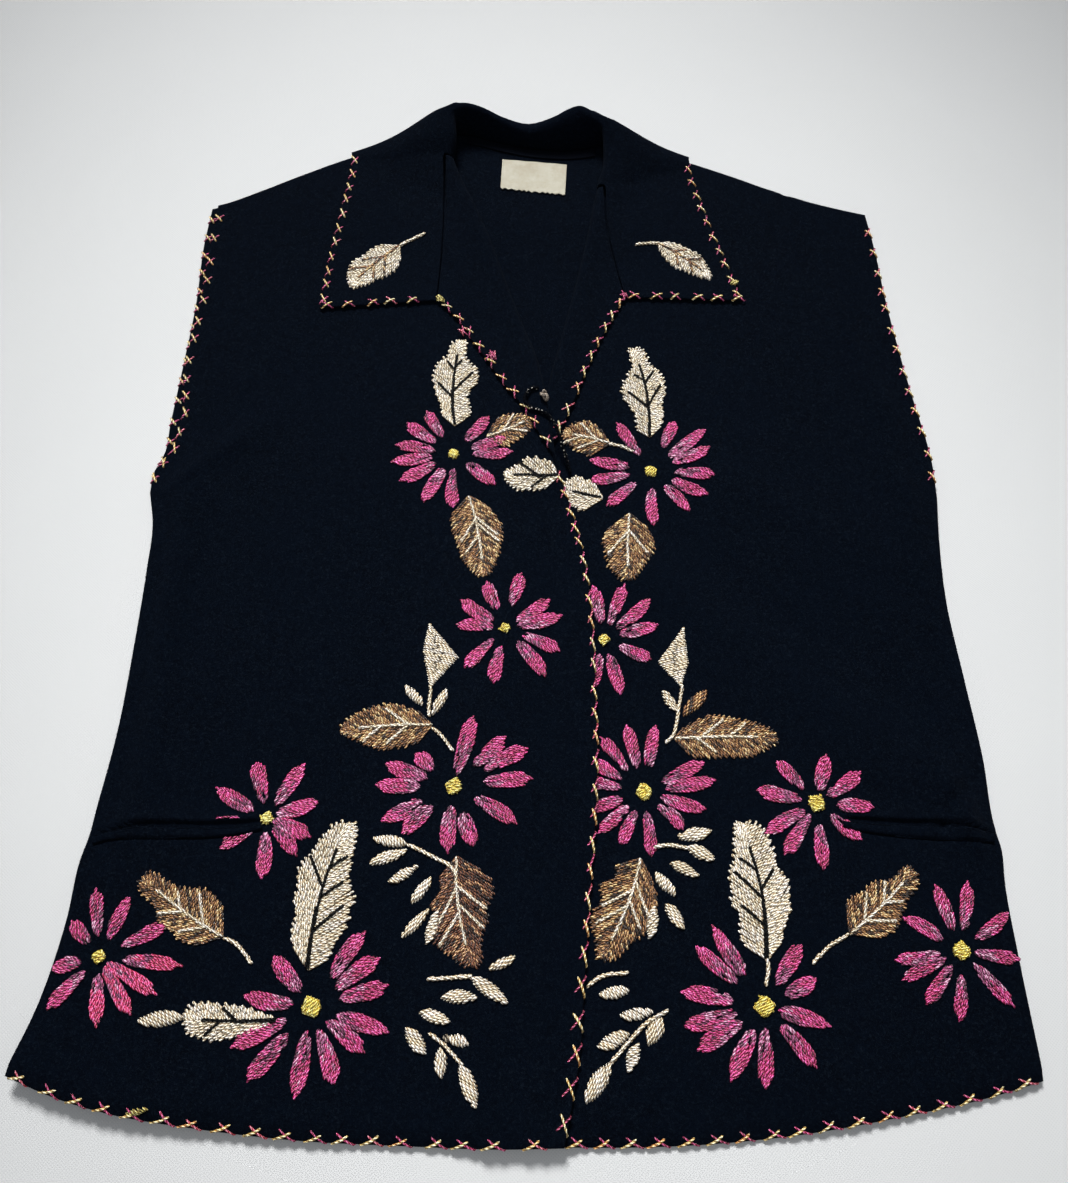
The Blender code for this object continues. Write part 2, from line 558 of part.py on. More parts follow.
def main():
    black = material("black felted wool", (0.012, 0.012, 0.016), 0.95)
    tape_black = material("black twill tape", (0.016, 0.016, 0.02), 0.8)
    label_cloth = material("off-white woven label", (0.78, 0.75, 0.68), 0.7)
    cord_black = material("black braided cord", (0.02, 0.018, 0.018), 0.4)

    cloth("back", back_rows(19, 4, 6), black)

    for side, name in ((R, "front_right"), (L, "front_left")):
        rows, gorge_row, across = front_rows(side, 10, 5, 2, 9, 5, 3)
        cloth(name, rows, black, skip=lambda i, j, g=gorge_row, a=across: i >= g and j >= a)

    ring = [0.0, 0.5, 1.0, 1.5, 2.0, 2.5, 3.0, 3.5, 4.0, 5.0, 6.0, 7.0, 8.0, 9.0, 10.0, 11.0, 12.0,
            12.5, 13.0, 13.5, 14.0, 14.5, 15.0, 15.5, 16.0]
    rows, first, last = collar_rows(7, ring, 4, 8)
    cloth("collar", rows, black, skip=lambda i, j: j < 4 and (i < first or i >= last))

    tape = []
    for d in (8.6, 5.1, 1.9):
        tape.append([(x, float(smooth(x, NECK)) - d, float(back_z(x, smooth(x, NECK) - d)) + WALL / 2 + GAP + TAPE / 2)
                     for x in spaced(-50.0, 38.0, 10)])
    cloth("neck_tape", tape, tape_black, wall=TAPE)

    label = []
    for v in (0.0, 1.0):
        row = []
        for u in (0.0, 0.5, 1.0):
            x = (1 - v) * (LABEL[3][0] * (1 - u) + LABEL[2][0] * u) + v * (LABEL[0][0] * (1 - u) + LABEL[1][0] * u)
            y = (1 - v) * (LABEL[3][1] * (1 - u) + LABEL[2][1] * u) + v * (LABEL[0][1] * (1 - u) + LABEL[1][1] * u)
            row.append((x, y, WALL + PLY + GAP + LABEL_WALL / 2))
        label.append(row)
    cloth("label", label, label_cloth, wall=LABEL_WALL)

    for side, name, table in ((R, "pocket_welt_right", WELT_R), (L, "pocket_welt_left", WELT_L)):
        rows = []
        for v in (0.0, 0.5, 1.0):
            row = []
            for x in spaced(table[0][0], table[-1][0], 8):
                low, high = float(smooth(x, table, 2)), float(smooth(x, table, 1))
                y = low + (high - low) * v
                row.append((x, y, float(front_z(side, x, y)) + WALL / 2 + GAP + 0.25 + WELT / 2))
            rows.append(row)
        cloth(name, rows, black, wall=WELT)

    path = [Vector(p[:3]) for p in LOOP]
    points = []
    for i in range(len(path) - 1):
        p0, p1, p2, p3 = path[max(i - 1, 0)], path[i], path[i + 1], path[min(i + 2, len(path) - 1)]
        for k in range(3):
            t = k / 3
            points.append(0.5 * (2 * p1 + (p2 - p0) * t + (2 * p0 - 5 * p1 + 4 * p2 - p3) * t * t
                                 + (3 * p1 - p0 - 3 * p2 + p3) * t**3))
    points.append(path[-1])
    curve = bpy.data.curves.new("button_loop", "CURVE")
    curve.dimensions = "3D"
    spline = curve.splines.new("POLY")
    spline.points.add(len(points) - 1)
    for sp, p in zip(spline.points, points):
        sp.co = (*place(p), 1.0)
    curve.bevel_depth = CORD / 2 * MM
    curve.bevel_resolution = 2
    curve.use_fill_caps = True
    loop = bpy.data.objects.new("button_loop", curve)
    curve.materials.append(cord_black)
    PARTS.objects.link(loop)
    loop.parent = ROOT

    bm = bmesh.new()
    bmesh.ops.create_uvsphere(bm, u_segments=12, v_segments=8, radius=1.0)
    for v in bm.verts:
        v.co = (v.co.x * KNOT[3] * MM, v.co.y * KNOT[4] * MM, v.co.z * KNOT[5] * MM)
    mesh = bpy.data.meshes.new("loop_knot")
    bm.to_mesh(mesh)
    bm.free()
    mesh.materials.append(cord_black)
    mesh.shade_smooth()
    knot = bpy.data.objects.new("loop_knot", mesh)
    knot.location = place(KNOT[:3])
    knot.rotation_euler = (0.0, 0.0, math.radians(KNOT[6]))
    PARTS.objects.link(knot)
    knot.parent = ROOT


clear_scene()
PARTS = bpy.data.collections.new("embroidered_vest")
bpy.context.scene.collection.children.link(PARTS)
ROOT = bpy.data.objects.new("vest_origin", None)
PARTS.objects.link(ROOT)
main()
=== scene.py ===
"""Looks of the embroidered felted-wool vest: cloth shells on the CAD solids, hand embroidery as real stitches,
cross-stitched edges, braided loop, label, floor, light and camera. Tables are in mm in the vest's own frame:
X across, Y from hem to neck, Z up from the surface that it lies on."""

import math

import bmesh
import bpy
import numpy as np
from mathutils import Matrix, Vector


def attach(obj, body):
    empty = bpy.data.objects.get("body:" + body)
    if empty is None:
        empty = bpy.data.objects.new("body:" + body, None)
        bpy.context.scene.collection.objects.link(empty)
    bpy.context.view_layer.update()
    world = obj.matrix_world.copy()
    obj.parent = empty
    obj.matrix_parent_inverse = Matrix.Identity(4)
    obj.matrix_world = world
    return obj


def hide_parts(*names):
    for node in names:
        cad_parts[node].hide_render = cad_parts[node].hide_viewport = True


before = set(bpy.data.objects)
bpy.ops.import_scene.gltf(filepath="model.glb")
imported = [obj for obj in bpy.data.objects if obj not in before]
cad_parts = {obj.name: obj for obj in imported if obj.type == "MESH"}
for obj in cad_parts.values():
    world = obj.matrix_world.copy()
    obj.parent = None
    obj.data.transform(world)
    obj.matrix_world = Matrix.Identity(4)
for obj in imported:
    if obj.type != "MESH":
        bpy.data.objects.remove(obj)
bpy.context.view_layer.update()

MM = 0.001

# ---------------------------------------------------------------- sizes, in mm
WALL = 1.6            # felted wool, one ply
GAP = 0.3             # between two pieces at a seam
PLY = WALL + GAP      # one more ply on top of another
OVER_GAP = 0.5        # air under a turned-down lapel or collar
ROLL_R = 2.6          # radius of a lapel's roll
BREAK_R = 1.25        # radius of the roll where the lapel starts
WRAP_R = 2.9          # radius at which the collar goes round the shoulder edge
SHIFT = (5.5, -29.0)  # puts the middle of the laid-out vest at the origin
R, L = 0, 1           # the wearer's right is at -X, the wearer's left at +X

# Side seam and armhole, from the hem up.
#  station          right_x  right_y   left_x   left_y
SIDE = (
    ("hem corner",  -264.0,  -265.0,   253.0,  -266.0),
    ("flare",       -254.0,  -228.0,   252.0,  -242.0),
    ("hip",         -247.0,  -189.0,   250.0,  -208.0),
    ("under welt",  -244.5,  -158.0,   248.5,  -167.0),
    ("welt",        -241.5,  -145.0,   249.3,  -151.0),
    ("over welt",   -240.0,  -132.0,   247.2,  -138.0),
    ("high hip",    -235.0,   -92.0,   246.5,  -101.0),
    ("waist",       -232.0,   -33.0,   242.5,   -54.0),
    ("rib",         -231.0,    10.0,   238.5,    -5.0),
    ("high rib",    -231.3,    40.0,   239.5,    34.0),
    ("underarm",    -235.5,    61.0,   242.0,    64.0),
)
ARMHOLE = (
    ("underarm",    -235.5,    61.0,   242.0,    64.0),
    ("low curve",   -235.6,    76.0,   241.6,    92.0),
    ("curve",       -230.8,    89.0,   239.0,   112.0),
    ("lower",       -229.6,   110.0,   236.0,   131.0),
    ("middle",      -226.6,   154.0,   231.0,   169.0),
    ("upper",       -223.8,   202.0,   226.5,   212.0),
    ("high",        -223.8,   248.0,   224.0,   248.0),
    ("tip",         -221.5,   278.5,   220.5,   278.0),
)
# How far the right front's armhole edge lies inside the back's.
#  y       inset
ARM_INSET = (
    (61.0, 0.0), (78.0, 1.6), (90.0, 4.6), (104.0, 6.4), (120.0, 7.2), (134.0, 4.4),
    (150.0, 2.2), (172.0, 2.2), (190.0, 2.8), (218.0, 4.0), (250.0, 4.8), (278.5, 4.4),
)
# Hem, side to side: the right front's runs to its front edge, and the left front's starts under it.
#  x        y
HEM_R = ((-264.0, -265.0), (-236.5, -275.5), (-216.0, -281.0), (-166.0, -289.0),
         (-117.0, -294.0), (-68.0, -296.2), (-19.0, -297.6), (12.0, -297.0))
HEM_L = ((-24.0, -294.5), (12.0, -296.6), (39.0, -296.8), (79.0, -295.5),
         (128.0, -291.0), (178.0, -283.0), (230.0, -272.5), (253.0, -266.0))
# Shoulder seam, armhole tip to neck point.
SHOULDER_R = ((-221.5, 278.5), (-212.0, 281.4), (-190.0, 291.4), (-164.0, 304.4), (-130.0, 320.6), (-64.0, 343.6))
SHOULDER_L = ((220.5, 278.0), (199.0, 283.5), (165.0, 294.0), (136.5, 306.0), (102.0, 320.0), (49.2, 336.2))
# Back neck seam, neck point to neck point.
NECK = ((-64.0, 343.6), (-52.0, 344.0), (-43.0, 342.4), (-28.0, 337.8), (-14.0, 334.2), (3.5, 331.6),
        (19.0, 331.2), (35.0, 333.4), (49.2, 336.2))
# Front edge of each front below the break of its lapel.
#  y       x
EDGE_R = ((-297.0, 12.0), (-278.0, 16.0), (-257.0, 20.0), (-228.0, 22.5), (-178.0, 26.5), (-125.5, 31.0),
          (-91.5, 32.0), (-62.5, 31.5), (-32.5, 31.0), (-1.0, 29.0), (28.0, 24.6), (58.0, 17.0), (83.0, 9.0))
EDGE_L = ((-294.5, -24.0), (-228.0, -26.0), (-178.0, -27.0), (-125.0, -27.5), (-68.0, -24.0), (-32.0, -17.0),
          (19.0, -9.0), (59.0, -2.0), (84.0, 2.0))
# Roll line of each lapel, from its break up to the gorge.
#  y       x     roll radius
ROLL_TAB_R = ((83.0, 9.0, 1.25), (108.5, 5.4, 1.6), (135.5, 1.4, 2.2), (161.0, -4.2, 2.6), (186.0, -12.5, 2.6),
              (219.0, -23.5, 2.6), (236.5, -29.0, 2.6), (282.0, -46.0, 2.8), (301.5, -54.7, 3.6), (316.0, -59.8, 4.6))
ROLL_TAB_L = ((84.0, 2.0, 1.25), (112.0, 3.6, 1.4), (139.5, 6.2, 2.0), (169.0, 13.0, 2.6), (196.0, 19.4, 2.6),
              (234.5, 28.0, 2.6), (263.0, 33.8, 2.6), (280.0, 36.7, 2.8), (292.5, 39.2, 3.3))
# Cut edge of each lapel, from the break to the notch, and the gorge seam above it.
LAPEL_R = ((83.0, 9.0), (107.0, -4.6), (125.0, -13.6), (144.0, -26.0), (157.0, -33.6), (168.0, -41.0), (190.5, -55.0), (202.6, -66.8))
LAPEL_L = ((84.0, 2.0), (101.0, 10.4), (110.0, 14.4), (128.0, 22.0), (148.7, 29.0), (168.7, 37.0), (188.6, 46.3),
           (206.6, 55.3))
GORGE_R = ((202.6, -66.8), (222.4, -65.4), (249.4, -64.0), (285.0, -63.7), (316.0, -64.4))
GORGE_L = ((206.6, 55.3), (220.5, 51.8), (234.0, 49.0), (258.0, 44.5), (292.5, 42.5))
# Free edge of the collar on each front, from its point up.
#  y       x
FALL_R = ((195.6, -142.6), (225.4, -140.1), (254.0, -136.5), (278.0, -132.8), (303.5, -129.4), (315.0, -128.4))
FALL_L = ((205.0, 131.6), (237.0, 122.6), (264.3, 114.0), (293.0, 106.4), (308.5, 103.0))
# Neck edge of each front, between the roll and the shoulder.
NECKLINE_R = ((316.0, -64.4), (330.0, -66.8), (343.6, -65.2))
NECKLINE_L = ((292.5, 42.5), (314.0, 50.8), (336.2, 50.4))

# ---------------------------------------------------------------- small pieces, in mm
TAPE = 1.0            # neck tape's wall
LABEL_WALL = 1.0
WELT = 1.2            # pocket welt's wall
CORD = 2.2            # braided cord's diameter
BACK_SHORT = 2.0      # the back's hem lies this much inside the fronts'
LABEL = ((-26.0, 322.0), (18.5, 318.0), (17.0, 291.0), (-27.0, 296.0))   # corners, clockwise from the upper right side
# Pocket welts, along the slit.
#  x        top_y    low_y
WELT_R = ((-239.0, -147.6, -153.0), (-231.0, -143.8, -150.2), (-222.0, -141.8, -148.4), (-188.0, -140.0, -147.2),
          (-149.0, -139.8, -146.4))
WELT_L = ((164.0, -135.8, -140.8), (179.0, -137.8, -142.4), (205.0, -139.6, -145.4), (228.0, -140.8, -146.8),
          (245.5, -142.4, -148.8))
# Cord loop, from its sewn end: x, y, z of its centreline.
LOOP = (
    (18.8, 76.0, 5.8), (16.6, 83.0, 7.6), (14.6, 89.0, 10.6), (12.0, 96.0, 13.3), (9.6, 103.4, 14.5), (5.6, 110.6, 15.2),
    (-0.8, 114.6, 15.2), (-6.0, 117.4, 14.8), (-9.4, 122.0, 14.2), (-8.6, 127.2, 14.4), (-5.0, 130.6, 15.0),
    (-1.0, 130.4, 15.6),
)
# Knot at the loop's end: x, y, z, then its half sizes and its turn in degrees.
KNOT = (2.6, 124.6, 16.6, 2.5, 4.3, 2.3, 29.0)

# Sections of the collar round the neck, from the gorge of the right front to that of the left front.
# seam: where the stand is sewn on; rise: direction in which it leaves the seam (0 = level, towards the
# opening, 90 = upright); crest: top of its fold; edge: free edge of the fall; wrap: 90 = on the front,
# 0 = at the shoulder's edge, -90 = under the back.
#  section          seam_x seam_y seam_z rise  crest_x crest_y crest_z  edge_x  edge_y  wrap
COLLAR = (
    ("gorge right",   -64.0, 317.3,  4.6,   0.0,  -65.1, 317.6, 13.8,   -128.4, 315.3,  90.0),
    ("neckline r",    -63.2, 330.5,  4.4,  35.0,  -63.4, 331.5, 20.5,   -128.6, 318.4,  90.0),
    ("shoulder r",    -60.8, 344.6,  3.8,  72.0,  -62.0, 344.8, 24.0,   -128.8, 321.2,  90.0),
    ("edge r",        -56.5, 345.6,  2.8,  80.0,  -57.8, 348.6, 25.2,   -128.8, 321.4,   0.0),
    ("turned r",      -53.0, 345.6,  2.4,  82.0,  -54.0, 350.0, 25.0,   -127.6, 320.8, -90.0),
    ("behind r",      -47.0, 344.8,  2.1,  84.0,  -47.5, 350.4, 24.2,   -117.0, 308.0, -90.0),
    ("back r",        -38.0, 342.0,  1.9,  86.0,  -38.0, 348.4, 22.2,    -88.0, 300.0, -90.0),
    ("half back r",   -24.0, 337.7,  1.9,  86.0,  -24.0, 343.2, 18.2,    -50.0, 295.0, -90.0),
    ("centre back",    -6.0, 333.5,  1.9,  86.0,   -8.0, 339.2, 16.2,    -10.0, 292.0, -90.0),
    ("half back l",    10.0, 332.3,  1.9,  86.0,    8.0, 342.2, 20.6,     32.0, 291.0, -90.0),
    ("back l",         22.0, 332.9,  1.9,  86.0,   18.0, 346.4, 24.0,     64.0, 294.0, -90.0),
    ("behind l",       32.0, 334.6,  2.1,  84.0,   25.5, 347.8, 25.8,     88.0, 302.0, -90.0),
    ("turned l",       39.0, 336.4,  2.4,  82.0,   31.5, 345.4, 25.0,    100.0, 319.6, -90.0),
    ("edge l",         43.5, 337.4,  2.8,  80.0,   37.0, 342.4, 23.6,    101.8, 320.4,   0.0),
    ("shoulder l",     46.4, 337.2,  3.9,  70.0,   45.0, 336.0, 20.6,    102.2, 319.8,  90.0),
    ("neckline l",     46.8, 314.0,  4.4,  35.0,   49.2, 316.0, 15.0,    102.8, 313.4,  90.0),
    ("gorge l",        41.9, 293.8,  4.6,   0.0,   43.0, 294.2, 11.3,    103.0, 308.8,  90.0),
)

# Soft folds of the two fronts: a ridge from one end to the other.
#  front  from_x  from_y   to_x    to_y   width  height
FOLDS = (
    (R,   -213.0,   50.0, -216.0, -120.0,  11.0,  3.0),
    (R,   -222.0,   64.0, -186.0,   98.0,   8.0,  2.2),
    (R,   -196.0,  -70.0, -206.0, -240.0,  20.0,  1.6),
    (R,   -120.0,   60.0, -150.0, -200.0,  42.0,  1.6),
    (R,    -30.0,  -20.0,  -42.0, -250.0,  30.0,  1.2),
    (L,     60.0,   10.0,  225.0, -120.0,  17.0,  2.6),
    (L,    120.0,   70.0,  232.0,   10.0,  20.0,  1.8),
    (L,    214.0,  120.0,  226.0,   50.0,   9.0,  2.2),
    (L,    226.0, -118.0,  236.0, -142.0,   7.0,  3.4),
    (L,    120.0, -120.0,  150.0, -250.0,  34.0,  1.8),
)


# Smaller creases and drag lines, only in the cloth's look: the same columns as FOLDS, negative = a trough.
CREASES = (
    (R,   -224.0,   96.0, -196.0,   58.0,   4.5,  0.9),
    (R,   -232.0,   52.0, -205.0,   74.0,   4.0, -0.9),
    (R,   -214.0,  150.0, -196.0,  102.0,   7.0,  0.7),
    (R,   -110.0,  196.0,  -91.0,  142.0,   2.2, -0.7),
    (R,   -100.0,  192.0,  -82.0,  120.0,   6.0,  0.6),
    (R,   -228.0,  -20.0, -232.0, -110.0,   6.0, -1.0),
    (R,   -196.0,   30.0, -203.0,  -90.0,   7.0, -0.7),
    (R,   -180.0,   90.0, -170.0,  -30.0,  16.0,  0.7),
    (R,    -78.0,   10.0,  -84.0, -120.0,  14.0, -0.6),
    (R,      4.0,   20.0,   12.0, -240.0,   9.0, -0.7),
    (R,   -140.0, -160.0, -170.0, -270.0,  12.0,  0.8),
    (R,    -70.0, -180.0,  -80.0, -285.0,  14.0, -0.6),
    (R,   -236.0, -170.0, -246.0, -250.0,   8.0,  0.9),
    (L,    165.0,  287.0,  120.0,  121.0,   2.4, -0.8),
    (L,    157.0,  284.0,  112.0,  118.0,   6.0,  0.6),
    (L,    172.0,  284.0,  129.0,  124.0,   6.0,  0.4),
    (L,    205.0,  170.0,  232.0,   96.0,   5.0,  0.9),
    (L,    190.0,  150.0,  228.0,   80.0,   6.0, -0.7),
    (L,     90.0,   30.0,  200.0,  -60.0,   9.0, -0.8),
    (L,     70.0,  -30.0,  190.0, -112.0,  10.0,  0.8),
    (L,    150.0,   20.0,  236.0,  -28.0,   8.0,  0.8),
    (L,    212.0,  -40.0,  238.0, -112.0,   7.0,  1.0),
    (L,    224.0, -124.0,  243.0, -112.0,   4.0, -1.2),
    (L,     90.0, -150.0,  104.0, -280.0,  14.0, -0.6),
    (L,    180.0, -160.0,  205.0, -262.0,  12.0,  0.8),
    (L,    236.0, -166.0,  244.0, -244.0,   8.0,  0.8),
    (L,    221.0, -136.0,  232.0, -119.0,   3.4, -2.0),
    (L,    229.0, -140.0,  240.0, -118.0,   3.0,  0.8),
)
# The pocket slits as they lie: the lip of cloth above, then the welt's upper and lower side.
#  x        lip_y   top_y   low_y
POCKET_R = ((-239.0, -145.4, -146.0, -150.6), (-231.0, -142.2, -143.6, -148.2), (-222.0, -139.0, -141.8, -147.4),
            (-200.0, -137.6, -141.2, -147.2), (-180.0, -137.8, -141.6, -146.8), (-163.0, -137.0, -141.0, -145.0),
            (-149.0, -136.2, -140.0, -142.0))
POCKET_L = ((164.0, -132.6, -135.6, -139.4), (179.0, -133.4, -137.0, -142.0), (200.0, -134.4, -138.0, -144.4),
            (218.0, -134.6, -138.6, -145.4), (228.0, -136.0, -139.0, -146.0), (245.5, -142.0, -142.2, -147.4))


# Where a front's hem stands off the surface: place, reach on each side of it and upwards, height.
#  front   x       y     reach_x reach_y height
HEM_LIE = (
    (R,  -268.0, -268.0,  46.0,   26.0,   7.0),
    (R,  -206.0, -284.0,  44.0,   22.0,   4.6),
    (R,  -130.0, -294.0,  50.0,   18.0,   2.0),
    (R,   -70.0, -296.0,  60.0,   16.0,   0.8),
    (R,    10.0, -297.0,  20.0,   20.0,   1.6),
    (L,   256.0, -266.0,  20.0,   20.0,   1.4),
)


def smooth(x, table, col=1, key=0):
    """A curve through the table's rows, with the slope at each row taken from its neighbours."""
    xs = np.array([row[key] for row in table], float)
    vs = np.array([row[col] for row in table], float)
    if xs[0] > xs[-1]:
        xs, vs = xs[::-1], vs[::-1]
    x = np.clip(np.asarray(x, float), xs[0], xs[-1])
    h, d = np.diff(xs), np.diff(vs) / np.diff(xs)
    m = np.empty_like(vs)
    m[0], m[-1] = d[0], d[-1]
    if len(d) > 1:
        m[1:-1] = (h[1:] * d[:-1] + h[:-1] * d[1:]) / (h[1:] + h[:-1])
    i = np.clip(np.searchsorted(xs, x, side="right") - 1, 0, len(h) - 1)
    t = (x - xs[i]) / h[i]
    return ((2 * t**3 - 3 * t**2 + 1) * vs[i] + (t**3 - 2 * t**2 + t) * h[i] * m[i]
            + (3 * t**2 - 2 * t**3) * vs[i + 1] + (t**3 - t**2) * h[i] * m[i + 1])


def ramp(t):
    t = np.clip(t, 0.0, 1.0)
    return t * t * (3 - 2 * t)


def side_x(side, y):
    """x of the body's outline on one side."""
    cols = (1, 2) if side == R else (3, 4)
    y = np.asarray(y, float)
    low = smooth(y, SIDE, cols[0], cols[1])
    high = smooth(y, ARMHOLE, cols[0], cols[1])
    return np.where(y < ARMHOLE[0][cols[1]], low, high)


def edge_x(side, y):
    """x of a front's edge: its cut edge up to the break, then the roll of its lapel, then its neck edge."""
    edge, roll, line = (EDGE_R, ROLL_TAB_R, NECKLINE_R) if side == R else (EDGE_L, ROLL_TAB_L, NECKLINE_L)
    y = np.asarray(y, float)
    x = np.where(y < roll[0][0], smooth(y, edge), smooth(y, roll))
    return np.where(y > roll[-1][0], smooth(y, line), x)


def roll_r(side, y):
    tab = ROLL_TAB_R if side == R else ROLL_TAB_L
    return smooth(y, tab, 2)


def lapel_x(side, y):
    """x of the lapel's outer side: its cut edge up to the notch, then the gorge seam."""
    cut, gorge = (LAPEL_R, GORGE_R) if side == R else (LAPEL_L, GORGE_L)
    y = np.asarray(y, float)
    return np.where(y < gorge[0][0], smooth(y, cut), smooth(y, gorge))


def lift_neck(x, y):
    """The body lies on the part of the collar that is tucked under the back."""
    q = np.hypot((x + 9.0) / 152.0, (y - 324.0) / 62.0)
    return PLY * (1 - ramp((q - 0.86) / 0.8))


def fold_height(side, x, y):
    z = 0.0 * x
    for front, x0, y0, x1, y1, width, height in FOLDS + CREASES:
        if front != side:
            continue
        ux, uy = x1 - x0, y1 - y0
        span = math.hypot(ux, uy)
        ux, uy = ux / span, uy / span
        along = (x - x0) * ux + (y - y0) * uy
        across = (x - x0) * uy - (y - y0) * ux
        over = np.maximum(np.maximum(-along, along - span), 0.0)
        z = z + height * np.exp(-((across / width) ** 2) - (over / (1.6 * width + 10.0)) ** 2)
    return z


def hem_lie(side, x, y):
    """The hem's edge hangs to the surface, and stands up in places."""
    z = 0.0 * x
    for front, px, py, rx, ry, height in HEM_LIE:
        if front == side:
            z = z + height * np.exp(-((x - px) / rx) ** 2 - ((y - py) / ry) ** 2)
    table = HEM_R if side == R else HEM_L
    d = y - smooth(x, table)
    off = ramp((x - 14.0) / 12.0) if side == L else 1 - ramp((x + 34.0) / 10.0)
    return z - (2.3 if side == R else 1.6) * (1 - ramp(d / 7.0)) * off


def pocket_lip(side, x, y):
    """The cloth above a pocket's slit stands up as a lip, sinks into the slit, and dips under its welt."""
    table = POCKET_R if side == R else POCKET_L
    x0, x1 = table[0][0], table[-1][0]
    inside = ramp((x - x0) / 7.0) * ramp((x1 + 2.0 - x) / 7.0)
    d = y - smooth(x, table, 1)
    lip = ramp((d + 0.4) / 1.1) * np.exp(-np.maximum(d - 0.9, 0.0) / 5.0)
    under = ramp((0.4 - d) / 1.0) * ramp((y - smooth(x, table, 3) + 1.6) / 1.4)
    return inside * (1.9 * lip - 0.55 * under)


def back_z(x, y):
    """Middle of the back's wall."""
    return WALL / 2 + lift_neck(x, y)


def front_z(side, x, y):
    """Middle of a front's wall."""
    x, y = np.asarray(x, float), np.asarray(y, float)
    z = back_z(x, y) + PLY + 0.4 * ramp(1 - np.abs(y - 262.0) / 60.0)
    near_side = np.abs(x - side_x(side, np.clip(y, -265.0, 279.0)))
    z = z + fold_height(side, x, y) * ramp(near_side / 16.0) + pocket_lip(side, x, y) + hem_lie(side, x, y)
    if side == R:
        under = np.where(y < 84.0, edge_x(L, np.minimum(y, 84.0)), edge_x(L, np.clip(y, 84.0, 290.0)))
        on_front = ramp((x - (under - 27.0)) / 24.0) * (1 - ramp((y - 150.0) / 50.0))
        z = z + (PLY + 1.2 + fold_height(L, x, y)) * on_front
        on_lapel = ramp((y - 52.0) / 30.0) * (1 - ramp((y - 150.0) / 45.0)) * ramp((x + 26.0) / 24.0)
        z = z + (PLY + 1.9) * on_lapel
    return z


def over_z(side, x, y):
    """Middle of the wall of a lapel or collar that lies flat on a front."""
    return front_z(side, x, y) + PLY + OVER_GAP


def turned_z(side, x, y):
    """The same, with the swell beside the roll line."""
    y = np.asarray(y, float)
    roll = ROLL_TAB_R if side == R else ROLL_TAB_L
    yc = np.clip(y, roll[0][0], roll[-1][0])
    r = roll_r(side, yc)
    sign = -1.0 if side == R else 1.0
    ex = edge_x(side, yc) + sign * r
    top = front_z(side, ex, yc) + 2 * r
    swell = top - over_z(side, ex, yc)
    width = 9.0 + 27.0 * ramp((yc - 270.0) / 60.0)
    d = np.maximum(sign * (x - ex), 0.0)
    return over_z(side, x, y) + swell * np.exp(-((d / width) ** 2))


def collar_row(s):
    """Columns of COLLAR at a place s between its rows."""
    rows = [tuple(float(v) for v in row[1:]) for row in COLLAR]
    table = [(float(i),) + row for i, row in enumerate(rows)]
    return [float(smooth(s, table, c)) for c in range(1, 11)]


def collar_fall(s, f):
    """A point of the collar's fall: f = 0 at the crest, 1 at the free edge."""
    sx, sy, sz, rise, cx, cy, cz, ex, ey, wrap = collar_row(s)
    wrap = math.radians(max(-90.0, min(90.0, wrap)))
    side = R if s < 8.0 else L
    out = np.array([cx + 8.0, cy - 308.0])
    out /= np.linalg.norm(out)
    shoulder = np.array([-0.32, 0.947]) if side == R else np.array([0.29, 0.957])
    tuck = ramp((0.15 - math.sin(wrap)) / 1.0)
    # laid down gradually, as on the front
    ax, ay = cx + (ex - cx) * f, cy + (ey - cy) * f
    ka = math.exp(-((math.hypot(ax - cx, ay - cy) / (9.0 + 27.0 * float(ramp((cy - 270.0) / 60.0)))) ** 2))
    # dropped at once, then run flat, as under the back
    g = max(0.0, (f - 0.3) / 0.7)
    drop = min(1.0, f / 0.3)
    bx, by = cx + (ex - cx) * g, cy + (ey - cy) * g
    bulge = 6.0 * math.sin(math.pi * drop) if f < 0.3 else 0.0
    bx, by = bx + out[0] * bulge, by + out[1] * bulge
    kb = 0.5 + 0.5 * math.cos(math.pi * drop)
    x, y = ax + (bx - ax) * tuck, ay + (by - ay) * tuck
    k = ka + (kb - ka) * tuck
    away = WRAP_R * math.cos(wrap) * min(1.0, f / 0.25 + 0.3)
    x, y = x + shoulder[0] * away, y + shoulder[1] * away
    qx, qy = x, y
    top = float(over_z(side, np.array(qx), np.array(qy)))
    low = WALL / 2 + 0.05
    middle = float(back_z(np.array(qx), np.array(qy))) + PLY / 2
    flat = middle + ((top - middle) if wrap > 0 else (middle - low)) * math.sin(wrap)
    return x, y, flat + (cz - flat) * k


def collar_stand(s, f):
    """A point of the collar's stand: f = 0 at the neck seam, 1 at the crest."""
    sx, sy, sz, rise, cx, cy, cz, ex, ey, wrap = collar_row(s)
    out = np.array([cx + 8.0, cy - 308.0])
    out /= np.linalg.norm(out)
    up = max(0.0, min(90.0, rise)) / 90.0
    a0 = math.radians(max(0.0, min(90.0, rise)))
    height = cz - sz
    p0, p3 = np.array([sx, sy, sz]), np.array([cx, cy, cz])
    start = np.array([-out[0] * math.cos(a0), -out[1] * math.cos(a0), math.sin(a0)])
    lean = max(1.5, float(np.dot(p3[:2] - p0[:2], out)))
    p1 = p0 + start * height * (0.667 - 0.1 * up)
    p2 = p3 - np.array([out[0], out[1], 0.0]) * (0.667 * height * (1 - up) + (0.55 * lean + 2.0) * up)
    return (1 - f) ** 3 * p0 + 3 * (1 - f) ** 2 * f * p1 + 3 * (1 - f) * f * f * p2 + f**3 * p3


# ---------------------------------------------------------------- small tools

def to_world(points):
    """From the tables' frame in mm to the frame in metres."""
    return (np.asarray(points, float) + np.array([SHIFT[0], SHIFT[1], 0.0])) * MM


